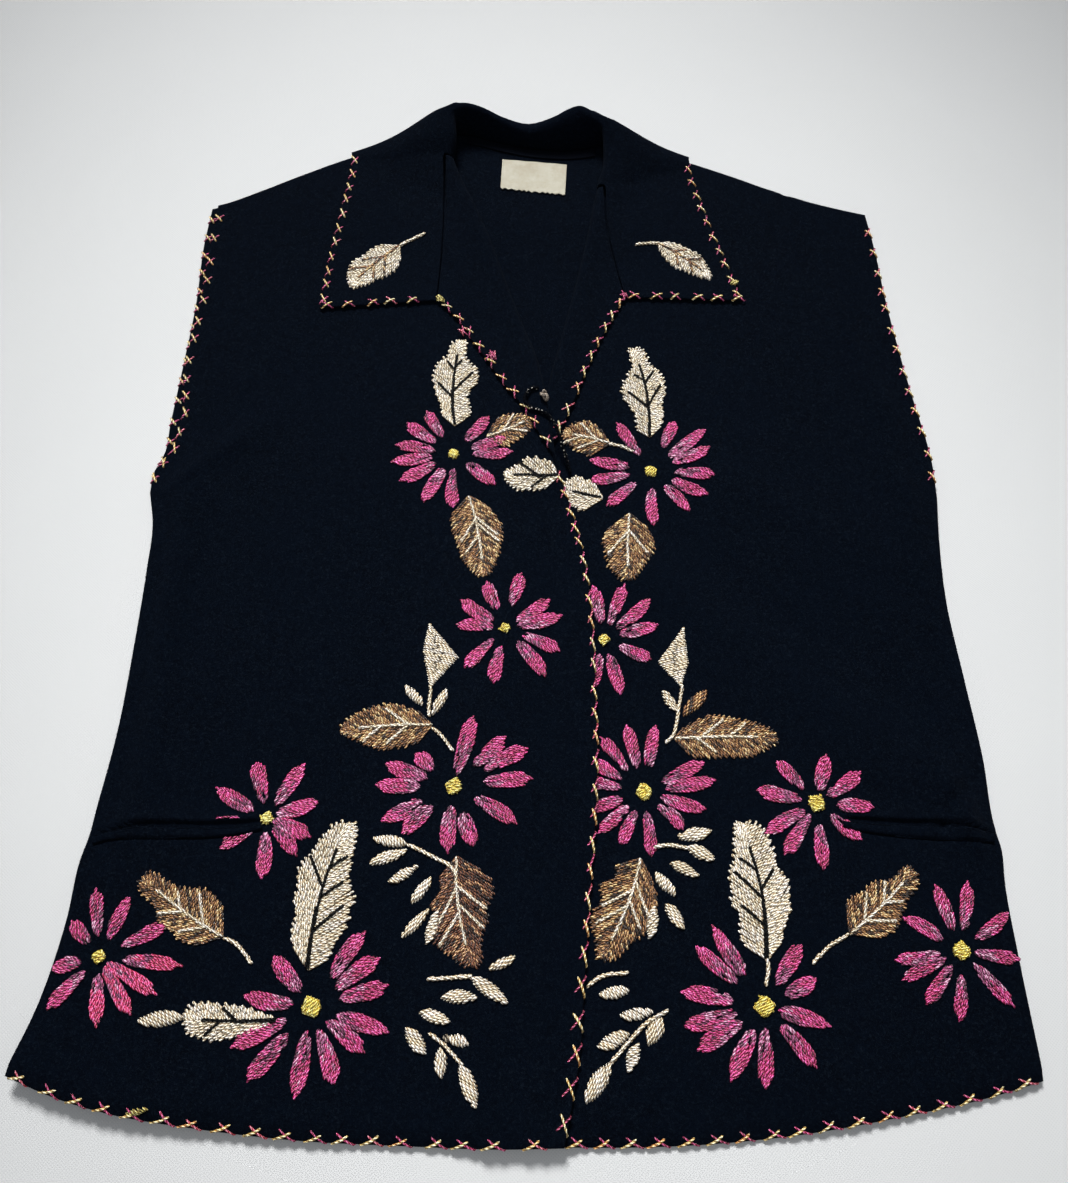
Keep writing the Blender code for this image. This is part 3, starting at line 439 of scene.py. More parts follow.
def linear(r, g, b):
    """A colour from 0-255 values as displayed."""
    c = np.array([r, g, b], float) / 255.0
    return np.where(c <= 0.04045, c / 12.92, ((c + 0.055) / 1.055) ** 2.4)


def mesh_object(name, points, faces, mat, uvs=None, colours=None):
    """A mesh object from points in mm; faces is a list of arrays, one array for each number of corners."""
    mesh = bpy.data.meshes.new(name)
    verts = to_world(points)
    mesh.vertices.add(len(verts))
    mesh.vertices.foreach_set("co", verts.ravel())
    loops = np.concatenate([f.ravel() for f in faces])
    sizes = np.concatenate([np.full(len(f), f.shape[1]) for f in faces])
    starts = np.concatenate([[0], np.cumsum(sizes)[:-1]])
    mesh.loops.add(len(loops))
    mesh.loops.foreach_set("vertex_index", loops.astype(np.int32))
    mesh.polygons.add(len(sizes))
    mesh.polygons.foreach_set("loop_start", starts.astype(np.int32))
    mesh.update(calc_edges=True)
    mesh.validate()
    mesh.polygons.foreach_set("use_smooth", np.ones(len(mesh.polygons), bool))
    for uv_name, uv in (uvs or {}).items():
        layer = mesh.uv_layers.new(name=uv_name)
        layer.data.foreach_set("uv", np.asarray(uv, float).ravel())
    if colours is not None:
        layer = mesh.attributes.new("yarn", "FLOAT_COLOR", "POINT")
        layer.data.foreach_set("color", np.asarray(colours, float).ravel())
    obj = bpy.data.objects.new(name, mesh)
    bpy.context.scene.collection.objects.link(obj)
    mesh.materials.append(mat)
    return obj


def shell(name, rows, mat, wall=WALL, skip=None, rim=0.6):
    """A closed cloth shell with rounded edges, from a grid of points of its middle surface."""
    grid = np.asarray(rows, float)
    n, m = grid.shape[:2]
    index = np.arange(n * m).reshape(n, m)
    quads = np.stack([index[:-1, :-1], index[:-1, 1:], index[1:, 1:], index[1:, :-1]], axis=-1)
    if skip is not None:
        quads = quads[~skip]
    quads = quads.reshape(-1, 4)
    bm = bmesh.new()
    vs = [bm.verts.new(p) for p in grid.reshape(-1, 3)]
    for a, b, c, d in quads:
        bm.faces.new((vs[a], vs[b], vs[c], vs[d]))
    bmesh.ops.delete(bm, geom=[v for v in bm.verts if not v.link_faces], context="VERTS")
    bmesh.ops.remove_doubles(bm, verts=bm.verts, dist=0.02)
    bmesh.ops.dissolve_degenerate(bm, dist=0.02, edges=bm.edges)
    bmesh.ops.triangulate(bm, faces=[f for f in bm.faces if len(f.verts) > 4])
    bmesh.ops.recalc_face_normals(bm, faces=bm.faces)
    bm.normal_update()
    bm.verts.index_update()
    V = np.array([v.co for v in bm.verts])
    N = np.array([v.normal for v in bm.verts])
    F = [[v.index for v in f.verts] for f in bm.faces]
    out = np.zeros_like(V)
    border = []
    for e in bm.edges:
        if len(e.link_faces) != 1:
            continue
        loop = e.link_loops[0]
        a, b = loop.vert.index, loop.link_loop_next.vert.index
        d = V[b] - V[a]
        o = np.cross(d, np.array(loop.face.normal))
        o /= max(1e-9, np.linalg.norm(o))
        out[a] += o
        out[b] += o
        border.append((a, b))
    bm.free()
    on_rim = np.linalg.norm(out, axis=1) > 1e-9
    out[on_rim] /= np.linalg.norm(out[on_rim], axis=1)[:, None]
    half = wall / 2
    top, low = V + N * half, V - N * half
    top[on_rim] -= out[on_rim] * rim
    low[on_rim] -= out[on_rim] * rim
    rim_ids = np.flatnonzero(on_rim)
    slot = -np.ones(len(V), int)
    slot[rim_ids] = np.arange(len(rim_ids))
    levels = []
    for a in (45.0, 0.0, -45.0):
        h, back = half * math.sin(math.radians(a)), rim * (1 - math.cos(math.radians(a)))
        levels.append(V[rim_ids] + N[rim_ids] * h - out[rim_ids] * back)
    count, r = len(V), len(rim_ids)
    points = np.concatenate([top, low] + levels)

    def row(level, i):
        return {0: i, 4: count + i}.get(level, 2 * count + (level - 1) * r + slot[i])

    fours, threes = [], []
    for f in F:
        (fours if len(f) == 4 else threes).append(f)
        (fours if len(f) == 4 else threes).append([count + i for i in reversed(f)])
    for a, b in border:
        for k in range(4):
            fours.append([row(k, b), row(k, a), row(k + 1, a), row(k + 1, b)])
    faces = [np.array(f, int).reshape(-1, s) for f, s in ((fours, 4), (threes, 3)) if f]
    return mesh_object(name, points, faces, mat)


# ---------------------------------------------------------------- threads

# Rings of points along a stitch: 4 for filling, 6 for one that goes round an edge.
PLACES = {4: (0.0, 0.2, 0.8, 1.0), 6: (0.0, 0.1, 0.36, 0.64, 0.9, 1.0)}
SINKS = {4: (-0.42, 0.9, 0.9, -0.42), 6: (-0.42, 0.02, 1.0, 1.0, 0.02, -0.42)}
SWELLS = {4: (0.5, 1.0, 1.0, 0.5), 6: (0.45, 0.82, 1.0, 1.0, 0.82, 0.45)}


class Threads:
    """Stitches gathered into one mesh: each is a closed strand from one point to another."""

    def __init__(self, seed, rings=4):
        self.rng = np.random.default_rng(seed)
        self.rings, self.sides = rings, 5 if rings == 4 else 6
        self.paths, self.ups, self.sizes, self.tones = [], [], [], []

    def tone(self, palette, spread=0.1):
        c = linear(*palette[int(self.rng.integers(len(palette)))])
        return c * (1 + spread * (self.rng.random() * 2 - 1))

    def lay(self, surface, starts, ends, width, tones, lift=0.0, arch=0.28, bow=0.0, flat=0.72):
        """Straight stitches on a surface: starts and ends are (x, y) in mm, surface gives the cloth's top."""
        a, b = np.asarray(starts, float), np.asarray(ends, float)
        if not len(a):
            return
        t = np.array(PLACES[self.rings])
        xy = a[:, None, :] + (b - a)[:, None, :] * t[None, :, None]
        d = b - a
        d = d / np.maximum(1e-6, np.linalg.norm(d, axis=1))[:, None]
        side = np.stack([-d[:, 1], d[:, 0]], axis=1)
        bend = np.sin(np.pi * t)[None, :, None] * side[:, None, :] * (np.asarray(bow) * np.ones(len(a)))[:, None, None]
        xy = xy + bend
        x, y = xy[..., 0], xy[..., 1]
        z = surface(x, y)
        e = 0.6
        nx, ny = -(surface(x + e, y) - z) / e, -(surface(x, y + e) - z) / e
        up = np.stack([nx, ny, np.ones_like(nx)], axis=-1)
        up /= np.linalg.norm(up, axis=-1)[..., None]
        sink = np.array(SINKS[self.rings])
        w = np.asarray(width) * np.ones(len(a))
        h = np.where(sink > 0, sink * arch, sink)[None, :] * (w / 1.05)[:, None] + np.asarray(lift)
        p = np.stack([x, y, z], axis=-1) + up * h[..., None]
        self.paths.append(p)
        self.ups.append(up)
        grow = np.array(SWELLS[self.rings])
        self.sizes.append(np.stack([w[:, None] / 2 * grow, w[:, None] / 2 * grow * flat], axis=-1))
        self.tones.append(np.asarray(tones, float).reshape(-1, 3))

    def route(self, path, ups, width, tone, flat=0.8):
        """One stitch along the given six points."""
        grow = np.array([0.55, 0.9, 1.0, 1.0, 0.95, 0.6])
        self.paths.append(np.asarray(path, float)[None])
        up = np.asarray(ups, float)
        self.ups.append((up / np.linalg.norm(up, axis=1)[:, None])[None])
        self.sizes.append(np.stack([width / 2 * grow, width / 2 * grow * flat], axis=-1)[None])
        self.tones.append(np.asarray(tone, float).reshape(1, 3))

    def build(self, name, mat):
        P, U = np.concatenate(self.paths), np.concatenate(self.ups)
        Z, T = np.concatenate(self.sizes), np.concatenate(self.tones)
        n, K, S = len(P), self.rings, self.sides
        first = 0.25 if S == 5 else 0.0
        tangent = np.gradient(P, axis=1)
        tangent /= np.maximum(1e-9, np.linalg.norm(tangent, axis=2))[..., None]
        side = np.cross(tangent, U)
        side /= np.maximum(1e-9, np.linalg.norm(side, axis=2))[..., None]
        up = np.cross(side, tangent)
        a = 2 * np.pi * (np.arange(S) / S + first)
        ring = (P[:, :, None, :] + side[:, :, None, :] * (np.cos(a)[None, None, :, None] * Z[:, :, 0][:, :, None, None])
                + up[:, :, None, :] * (np.sin(a)[None, None, :, None] * Z[:, :, 1][:, :, None, None]))
        tips = np.stack([P[:, 0] - tangent[:, 0] * Z[:, 0, :1] * 0.7, P[:, -1] + tangent[:, -1] * Z[:, -1, :1] * 0.7], axis=1)
        per = K * S + 2
        points = np.concatenate([ring.reshape(n, K * S, 3), tips], axis=1).reshape(-1, 3)
        quads, tris, quad_uv, tri_uv = [], [], [], []
        length = np.concatenate([np.zeros((n, 1)), np.cumsum(np.linalg.norm(np.diff(P, axis=1), axis=2), axis=1)], axis=1)
        for i in range(K - 1):
            for j in range(S):
                quads.append((i * S + j, (i + 1) * S + j, (i + 1) * S + (j + 1) % S, i * S + (j + 1) % S))
                quad_uv.append(((i, j), (i + 1, j), (i + 1, j + 1), (i, j + 1)))
        for j in range(S):
            tris.append((K * S, j, (j + 1) % S))
            tri_uv.append(((0, j + 0.5), (0, j), (0, j + 1)))
            tris.append((K * S + 1, (K - 1) * S + (j + 1) % S, (K - 1) * S + j))
            tri_uv.append(((K - 1, j + 0.5), (K - 1, j + 1), (K - 1, j)))
        base = (np.arange(n) * per)[:, None, None]
        quads_all = (base + np.array(quads)[None]).reshape(-1, 4)
        tris_all = (base + np.array(tris)[None]).reshape(-1, 3)
        cells = math.ceil(math.sqrt(n))
        cell = np.stack([np.arange(n) % cells, np.arange(n) // cells], axis=1) / cells
        phase = self.rng.random(n)

        def uv(table):
            k = np.array([[c[0] for c in f] for f in table])
            v = np.array([[c[1] for c in f] for f in table]) / S
            along = length[:, k.ravel()].reshape((n,) + k.shape)
            strand = np.stack([along * MM * 100 + phase[:, None, None], np.broadcast_to(v + first, along.shape)], axis=-1)
            unit = np.stack([k / (K - 1), v], axis=-1) * 0.86 + 0.07
            bake = cell[:, None, None, :] + unit[None] / cells
            return strand.reshape(-1, 2), bake.reshape(-1, 2)

        s4, b4 = uv(quad_uv)
        s3, b3 = uv(tri_uv)
        colours = np.repeat(np.concatenate([T, np.ones((n, 1))], axis=1), per, axis=0)
        obj = mesh_object(name, points, [quads_all, tris_all], mat,
                          uvs={"OFBake": np.concatenate([b4, b3]), "strand": np.concatenate([s4, s3])}, colours=colours)
        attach(obj, "root")
        return obj


# ---------------------------------------------------------------- materials

class Nodes:
    """A material under construction; positions are object coordinates in metres."""

    def __init__(self, name):
        self.mat = bpy.data.materials.new(name)
        self.mat.use_nodes = True
        self.tree = self.mat.node_tree
        self.bsdf = self.tree.nodes["Principled BSDF"]
        self.coords = self.tree.nodes.new("ShaderNodeTexCoord").outputs["Object"]

    def node(self, kind, inputs=(), **settings):
        n = self.tree.nodes.new(kind)
        for key, value in settings.items():
            setattr(n, key, value)
        for key, value in dict(inputs).items():
            if hasattr(value, "is_output"):
                self.tree.links.new(value, n.inputs[key])
            else:
                n.inputs[key].default_value = value
        return n

    def noise(self, feature_mm, detail=3.0, rough=0.55, vector=None, stretch=None, distortion=0.0):
        v = vector or self.coords
        if stretch:
            v = self.node("ShaderNodeMapping", {"Vector": v, "Scale": stretch}).outputs["Vector"]
        return self.node("ShaderNodeTexNoise", {"Vector": v, "Scale": 1000.0 / feature_mm, "Detail": detail,
                                                "Roughness": rough, "Distortion": distortion}).outputs["Fac"]

    def curve(self, value, low, high, out_low=0.0, out_high=1.0):
        n = self.node("ShaderNodeMapRange", {"Value": value, "From Min": low, "From Max": high,
                                             "To Min": out_low, "To Max": out_high}, clamp=True)
        return n.outputs["Result"]

    def math(self, op, a, b=0.0):
        n = self.node("ShaderNodeMath", operation=op)
        for k, value in enumerate((a, b)):
            if hasattr(value, "is_output"):
                self.tree.links.new(value, n.inputs[k])
            else:
                n.inputs[k].default_value = value
        return n.outputs[0]

    def mix(self, fac, a, b, blend="MIX"):
        n = self.node("ShaderNodeMix", data_type="RGBA", blend_type=blend)
        for key, value in (("Factor", fac), ("A", a), ("B", b)):
            socket = next(s for s in n.inputs if s.name == key and s.enabled and
                          (s.type == "RGBA") == (key != "Factor"))
            if hasattr(value, "is_output"):
                self.tree.links.new(value, socket)
            else:
                socket.default_value = value if key == "Factor" else (*value, 1.0)
        return next(s for s in n.outputs if s.enabled and s.type == "RGBA")

    def bump(self, height, distance_mm, strength=1.0, normal=None):
        inputs = {"Height": height, "Distance": distance_mm * MM, "Strength": strength}
        if normal is not None:
            inputs["Normal"] = normal
        return self.node("ShaderNodeBump", inputs).outputs["Normal"]

    def set(self, **sockets):
        names = {"colour": "Base Color", "roughness": "Roughness", "normal": "Normal", "specular": "Specular IOR Level",
                 "sheen": "Sheen Weight", "sheen_roughness": "Sheen Roughness", "sheen_tint": "Sheen Tint", "coat": "Coat Weight"}
        for key, value in sockets.items():
            socket = self.bsdf.inputs[names[key]]
            if hasattr(value, "is_output"):
                self.tree.links.new(value, socket)
            else:
                socket.default_value = (*value, 1.0) if hasattr(value, "__len__") else value
        return self.mat


def wool_material(name, shade=1.0):
    """Black felted wool with a navy cast: a short uneven nap, with lint in it."""
    m = Nodes(name)
    nap = m.noise(0.9, 4.0, 0.7, distortion=0.6)
    grain = m.noise(1.5, 3.0, 0.75, distortion=0.4)
    felt = m.noise(4.5, 5.0, 0.62, distortion=0.8)
    wear = m.noise(60.0, 3.0, 0.5)
    fibre = m.noise(0.9, 3.0, 0.6, stretch=(0.45, 1.0, 1.0), distortion=3.0)
    deep = tuple(shade * c for c in (0.00026, 0.0007, 0.0020))
    mid = tuple(shade * c for c in (0.00087, 0.0022, 0.0055))
    pale = tuple(shade * c for c in (0.0054, 0.0090, 0.0150))
    colour = m.mix(m.curve(felt, 0.30, 0.66), deep, mid)
    colour = m.mix(m.curve(fibre, 0.50, 0.76, 0.0, 0.7), colour, pale)
    colour = m.mix(m.curve(grain, 0.52, 0.68, 0.0, 0.70), colour, pale)
    colour = m.mix(m.curve(nap, 0.35, 0.60, 0.65, 0.0), colour, deep)
    colour = m.mix(m.curve(wear, 0.35, 0.7, 0.0, 0.35), colour, mid)
    specks = m.node("ShaderNodeTexVoronoi", {"Vector": m.coords, "Scale": 150.0, "Randomness": 1.0}).outputs["Distance"]
    lint = m.math("MULTIPLY", m.curve(specks, 0.035, 0.02), m.curve(m.noise(14.0, 2.0), 0.56, 0.66))
    colour = m.mix(m.math("MULTIPLY", lint, 0.16), colour, (0.12, 0.13, 0.14))
    height = m.math("ADD", m.math("MULTIPLY", fibre, 0.7), m.math("MULTIPLY", nap, 0.9))
    height = m.math("ADD", height, m.math("MULTIPLY", felt, 1.2))
    height = m.math("ADD", height, m.math("MULTIPLY", grain, 1.1))
    rough = m.curve(nap, 0.2, 0.8, 0.92, 1.0)
    return m.set(colour=colour, roughness=rough, normal=m.bump(height, 0.32, 0.9), specular=0.02, sheen=0.0078,
                 sheen_roughness=0.55, sheen_tint=(0.55, 0.70, 0.95))


def yarn_material(name, ply_mm=4.8, gloss=0.42, shine=0.58):
    """Two-ply embroidery wool, the plies winding round it: the strand's own colour, with painted shade in the valleys
    between the plies and on the strand's flanks, and painted highlights and glints on the plies' crowns.
    """
    m = Nodes(name)
    own = m.node("ShaderNodeAttribute", attribute_name="yarn", attribute_type="GEOMETRY").outputs["Color"]
    uv = m.node("ShaderNodeUVMap", uv_map="strand").outputs["UV"]
    parts = m.node("ShaderNodeSeparateXYZ", {"Vector": uv})
    turn = m.math("ADD", m.math("MULTIPLY", parts.outputs["X"], 10.0 / ply_mm), parts.outputs["Y"])
    wave = m.math("SINE", m.math("MULTIPLY", turn, 4 * math.pi))
    ply = m.curve(wave, -1.0, 1.0)
    hair = m.noise(0.35, 3.0, 0.6)
    blotch = m.noise(2.2, 2.0, 0.5)
    # little light gets down between the strands: their flanks are deeper
    flank = m.math("ABSOLUTE", m.math("COSINE", m.math("MULTIPLY", parts.outputs["Y"], 2 * math.pi)))
    open_top = m.curve(flank, 0.52, 1.0, 1.0, 0.04)
    shade = m.math("ADD", m.curve(ply, 0.10, 0.52, -0.02, 1.0), m.curve(hair, 0.3, 0.7, -0.12, 0.12))
    shade = m.math("MULTIPLY", shade, m.curve(blotch, 0.3, 0.7, 0.90, 1.06))
    shade = m.math("MULTIPLY", shade, open_top)
    # in the valleys the light bounces off wool of the same colour, so they are deeper in hue too
    deep = m.mix(1.0, m.mix(1.0, own, own, "MULTIPLY"), (0.34, 0.27, 0.27), "MULTIPLY")
    # painted shade: the valleys between the plies and the strand's flanks take the darker colour
    colour = m.mix(shade, deep, own)
    # painted highlight: the plies' crowns on the strand's top are lightened towards a paler copy of its own colour
    top = m.math("MULTIPLY", m.curve(ply, 0.48, 0.80), m.curve(flank, 0.85, 0.4))
    colour = m.mix(m.math("MULTIPLY", top, 0.60), colour, m.mix(1.0, own, own, "SCREEN"))
    # painted glint: near-white highlights on the crowns, stronger on redder yarns
    red = m.node("ShaderNodeSeparateColor", {"Color": own}).outputs["Red"]
    glint = m.math("MULTIPLY", m.math("MULTIPLY", top, red), m.curve(hair, 0.35, 0.65, 0.06, 0.36))
    colour = m.mix(glint, colour, (1.0, 0.96, 0.97))
    height = m.math("ADD", ply, m.math("MULTIPLY", hair, 0.4))
    rough = m.curve(hair, 0.3, 0.7, gloss - 0.08, gloss + 0.08)
    return m.set(colour=colour, roughness=rough, normal=m.bump(height, 0.55, 1.0), specular=shine, sheen=0.05 if shine > 0.3 else 0.01,
                 sheen_roughness=0.4, sheen_tint=(1.0, 1.0, 1.0))


def label_material():
    """Woven satin label, yellowed a little, with a faint warp and weft."""
    m = Nodes("woven label")
    warp = m.node("ShaderNodeTexWave", {"Vector": m.coords, "Scale": 900.0, "Distortion": 0.6, "Detail": 1.0},
                  wave_type="BANDS", bands_direction="X").outputs["Fac"]
    weft = m.node("ShaderNodeTexWave", {"Vector": m.coords, "Scale": 700.0, "Distortion": 0.8, "Detail": 1.0},
                  wave_type="BANDS", bands_direction="Y").outputs["Fac"]
    age = m.noise(9.0, 4.0, 0.6)
    spots = m.noise(2.6, 3.0, 0.6)
    colour = m.mix(m.curve(age, 0.35, 0.7), (0.44, 0.425, 0.35), (0.35, 0.315, 0.235))
    colour = m.mix(m.curve(spots, 0.55, 0.75, 0.0, 0.5), colour, (0.36, 0.32, 0.24))
    colour = m.mix(m.curve(weft, 0.0, 1.0, 0.0, 0.25), colour, (0.42, 0.38, 0.30))
    height = m.math("ADD", m.math("MULTIPLY", warp, 0.6), weft)
    return m.set(colour=colour, roughness=m.curve(spots, 0.3, 0.7, 0.5, 0.7), normal=m.bump(height, 0.08, 0.7),
                 specular=0.3, sheen=0.1, sheen_roughness=0.4, sheen_tint=(1.0, 0.98, 0.92))


def tape_material():
    """Black twill tape."""
    m = Nodes("twill tape")
    turned = m.node("ShaderNodeMapping", {"Vector": m.coords, "Rotation": (0.0, 0.0, 0.9)}).outputs["Vector"]
    twill = m.node("ShaderNodeTexWave", {"Vector": turned, "Scale": 420.0, "Distortion": 0.5, "Detail": 1.0},
                   wave_type="BANDS", bands_direction="X").outputs["Fac"]
    worn = m.noise(7.0, 3.0)
    colour = m.mix(m.curve(twill, 0.2, 0.9), (0.0006, 0.0010, 0.0024), (0.0020, 0.0030, 0.0058))
    colour = m.mix(m.curve(worn, 0.4, 0.7, 0.0, 0.4), colour, (0.0014, 0.0024, 0.0050))
    return m.set(colour=colour, roughness=m.curve(worn, 0.3, 0.7, 0.85, 0.95), normal=m.bump(twill, 0.1, 0.7), specular=0.03)


def cord_material():
    """Braided black cord, with short pale flecks painted on in patches as the braid's highlights."""
    m = Nodes("braided cord")
    flecks = m.node("ShaderNodeTexVoronoi", {"Vector": m.coords, "Scale": 470.0, "Randomness": 0.75}).outputs["Distance"]
    some = m.noise(7.0, 2.0)
    hair = m.noise(0.3, 3.0)
    colour = m.mix(m.curve(hair, 0.3, 0.7), (0.0004, 0.0007, 0.0016), (0.0014, 0.0020, 0.0034))
    # painted highlights: pale flecks in patches along the braid
    painted_highlight = m.math("MULTIPLY", m.curve(flecks, 0.27, 0.17), m.curve(some, 0.44, 0.54))
    colour = m.mix(painted_highlight, colour, (0.42, 0.40, 0.36))
    return m.set(colour=colour, roughness=m.curve(hair, 0.3, 0.7, 0.8, 0.95), normal=m.bump(hair, 0.1, 0.6), specular=0.03)


def knot_material():
    """The knot at the cord's end: brown mottled with near-black, with paler fine patches over it."""
    m = Nodes("worn knot")
    fine_mottle = m.noise(0.5, 4.0, 0.6)
    spots = m.noise(1.8, 3.0, 0.6)
    colour = m.mix(m.curve(spots, 0.38, 0.58), (0.010, 0.012, 0.018), (0.24, 0.19, 0.145))
    colour = m.mix(m.curve(fine_mottle, 0.45, 0.7, 0.0, 0.7), colour, (0.50, 0.43, 0.36))
    return m.set(colour=colour, roughness=m.curve(fine_mottle, 0.3, 0.7, 0.6, 0.8), normal=m.bump(fine_mottle, 0.12, 0.7), specular=0.2)


def floor_material():
    """Pale photographic ground with a very fine canvas weave."""
    m = Nodes("pale canvas ground")
    turned = m.node("ShaderNodeMapping", {"Vector": m.coords, "Rotation": (0.0, 0.0, 0.72)}).outputs["Vector"]
    a = m.node("ShaderNodeTexWave", {"Vector": turned, "Scale": 260.0, "Distortion": 0.9, "Detail": 1.0, "Detail Scale": 3.0},
               wave_type="BANDS", bands_direction="X").outputs["Fac"]
    b = m.node("ShaderNodeTexWave", {"Vector": turned, "Scale": 260.0, "Distortion": 0.9, "Detail": 1.0, "Detail Scale": 3.0},
               wave_type="BANDS", bands_direction="Y").outputs["Fac"]
    weave = m.math("MAXIMUM", a, b)
    soft = m.noise(90.0, 3.0, 0.5)
    colour = m.mix(m.curve(weave, 0.2, 0.9), (0.500, 0.507, 0.514), (0.550, 0.557, 0.559))
    colour = m.mix(m.curve(soft, 0.3, 0.7, 0.0, 0.5), colour, (0.524, 0.531, 0.536))
    return m.set(colour=colour, roughness=m.curve(soft, 0.2, 0.8, 0.82, 0.95), normal=m.bump(weave, 0.12, 0.5), specular=0.25)


# ---------------------------------------------------------------- camera

camera = bpy.data.objects.new("camera", bpy.data.cameras.new("camera"))
bpy.context.scene.collection.objects.link(camera)
camera.data.sensor_width = 36.0
camera.data.sensor_fit = "AUTO"
camera.data.lens = 1200.0 * 36.0 / 1183.0
camera.data.clip_start = 0.01
camera.matrix_world = Matrix.Translation((-0.0063, -0.3048, 0.6497)) @ (
    Matrix.Rotation(math.radians(-1.75), 4, "Z") @ Matrix.Rotation(math.radians(23.022), 4, "X")
    @ Matrix.Rotation(math.radians(2.05), 4, "Z"))
bpy.context.scene.camera = camera


# ---------------------------------------------------------------- the braided loop and its knot

def spline_through(table, steps):
    path = [np.array(p[:3], float) for p in table]
    out = []
    for i in range(len(path) - 1):
        p0, p1, p2, p3 = path[max(i - 1, 0)], path[i], path[i + 1], path[min(i + 2, len(path) - 1)]
        for k in range(steps):
            t = k / steps
            out.append(0.5 * (2 * p1 + (p2 - p0) * t + (2 * p0 - 5 * p1 + 4 * p2 - p3) * t * t
                              + (3 * p1 - p0 - 3 * p2 + p3) * t**3))
    return np.array(out + [path[-1]])


def resample(path, step):
    seg = np.linalg.norm(np.diff(path, axis=0), axis=1)
    at = np.concatenate([[0.0], np.cumsum(seg)])
    n = max(2, int(round(at[-1] / step)))
    s = np.linspace(0.0, at[-1], n + 1)
    return np.stack([np.interp(s, at, path[:, k]) for k in range(3)], axis=1), s


def frames_along(path):
    tangent = np.gradient(path, axis=0)
    tangent /= np.linalg.norm(tangent, axis=1)[:, None]
    side = np.zeros_like(path)
    ref = np.cross(tangent[0], (0.0, 0.0, 1.0))
    for i, t in enumerate(tangent):
        ref = ref - t * np.dot(ref, t)
        ref /= np.linalg.norm(ref)
        side[i] = ref
    return tangent, side, np.cross(side, tangent)


def braid_tube(name, path, radius, mat, sides=20, lump=0.16, pitch=4.4, step=0.22):
    """A tube along a path, with the over-and-under lumps of a braid."""
    points, s = resample(path, step)
    tangent, side, up = frames_along(points)
    a = 2 * np.pi * np.arange(sides) / sides
    turns = 2 * np.pi * s[:, None] / pitch
    weave = np.maximum(np.sin(2 * a[None] + turns * 2), np.sin(2 * a[None] - turns * 2 + 1.2))
    r = radius * (1 - lump + lump * weave)
    end = np.minimum(1.0, np.minimum(s - s[0], s[-1] - s) / radius + 0.25)[:, None]
    r = r * np.sqrt(end)
    ring = points[:, None] + side[:, None] * (np.cos(a)[None, :, None] * r[..., None]) + up[:, None] * (np.sin(a)[None, :, None] * r[..., None])
    n = len(points)
    idx = np.arange(n * sides).reshape(n, sides)
    quads = np.stack([idx[:-1], idx[1:], np.roll(idx[1:], -1, axis=1), np.roll(idx[:-1], -1, axis=1)], axis=-1).reshape(-1, 4)
    tips = np.array([points[0], points[-1]])
    k = n * sides
    j = np.arange(sides)
    tris = np.concatenate([np.stack([np.full(sides, k), idx[0], np.roll(idx[0], -1)], axis=1),
                           np.stack([np.full(sides, k + 1), np.roll(idx[-1], -1), idx[-1]], axis=1)])
    return mesh_object(name, np.concatenate([ring.reshape(-1, 3), tips]), [quads, tris], mat)


cord_mat = cord_material()
loop_path = spline_through(LOOP, 8)
loop = braid_tube("loop_braid", loop_path, CORD / 2, cord_mat)
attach(loop, "root")
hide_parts("button_loop")

turn = math.radians(KNOT[6])
t = np.linspace(0.0, 2 * math.pi, 60)
wound = np.stack([(np.sin(t) + 2 * np.sin(2 * t)) / 3, (np.cos(t) - 2 * np.cos(2 * t)) / 3, -np.sin(3 * t)], axis=1)
wound = wound * (np.array(KNOT[3:6]) - 0.85) * np.array([1.0, 1.0, 0.9])
wound = np.stack([wound[:, 0] * math.cos(turn) - wound[:, 1] * math.sin(turn),
                  wound[:, 0] * math.sin(turn) + wound[:, 1] * math.cos(turn), wound[:, 2]], axis=1) + np.array(KNOT[:3])
knot = braid_tube("loop_end_knot", wound, 0.95, knot_material(), sides=14, step=0.25)
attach(knot, "root")
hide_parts("loop_knot")


# ---------------------------------------------------------------- cloth

def spaced(a, b, step):
    n = max(1, int(math.ceil(abs(b - a) / step)))
    return list(np.linspace(a, b, n + 1))


def coons_grid(U, V, O, I, B, T):
    """A four-sided patch: O and I are its outer and inner sides at V, B and T its low and high sides at U."""
    P = []
    for k in (0, 1):
        o, i, b, t = O[k][:, None], I[k][:, None], B[k][None], T[k][None]
        P.append((1 - U) * o + U * i + (1 - V) * b + V * t
                 - (1 - U) * (1 - V) * o[0, 0] - (1 - U) * V * o[-1, 0] - U * (1 - V) * b[0, -1] - U * V * t[0, -1])
    return P


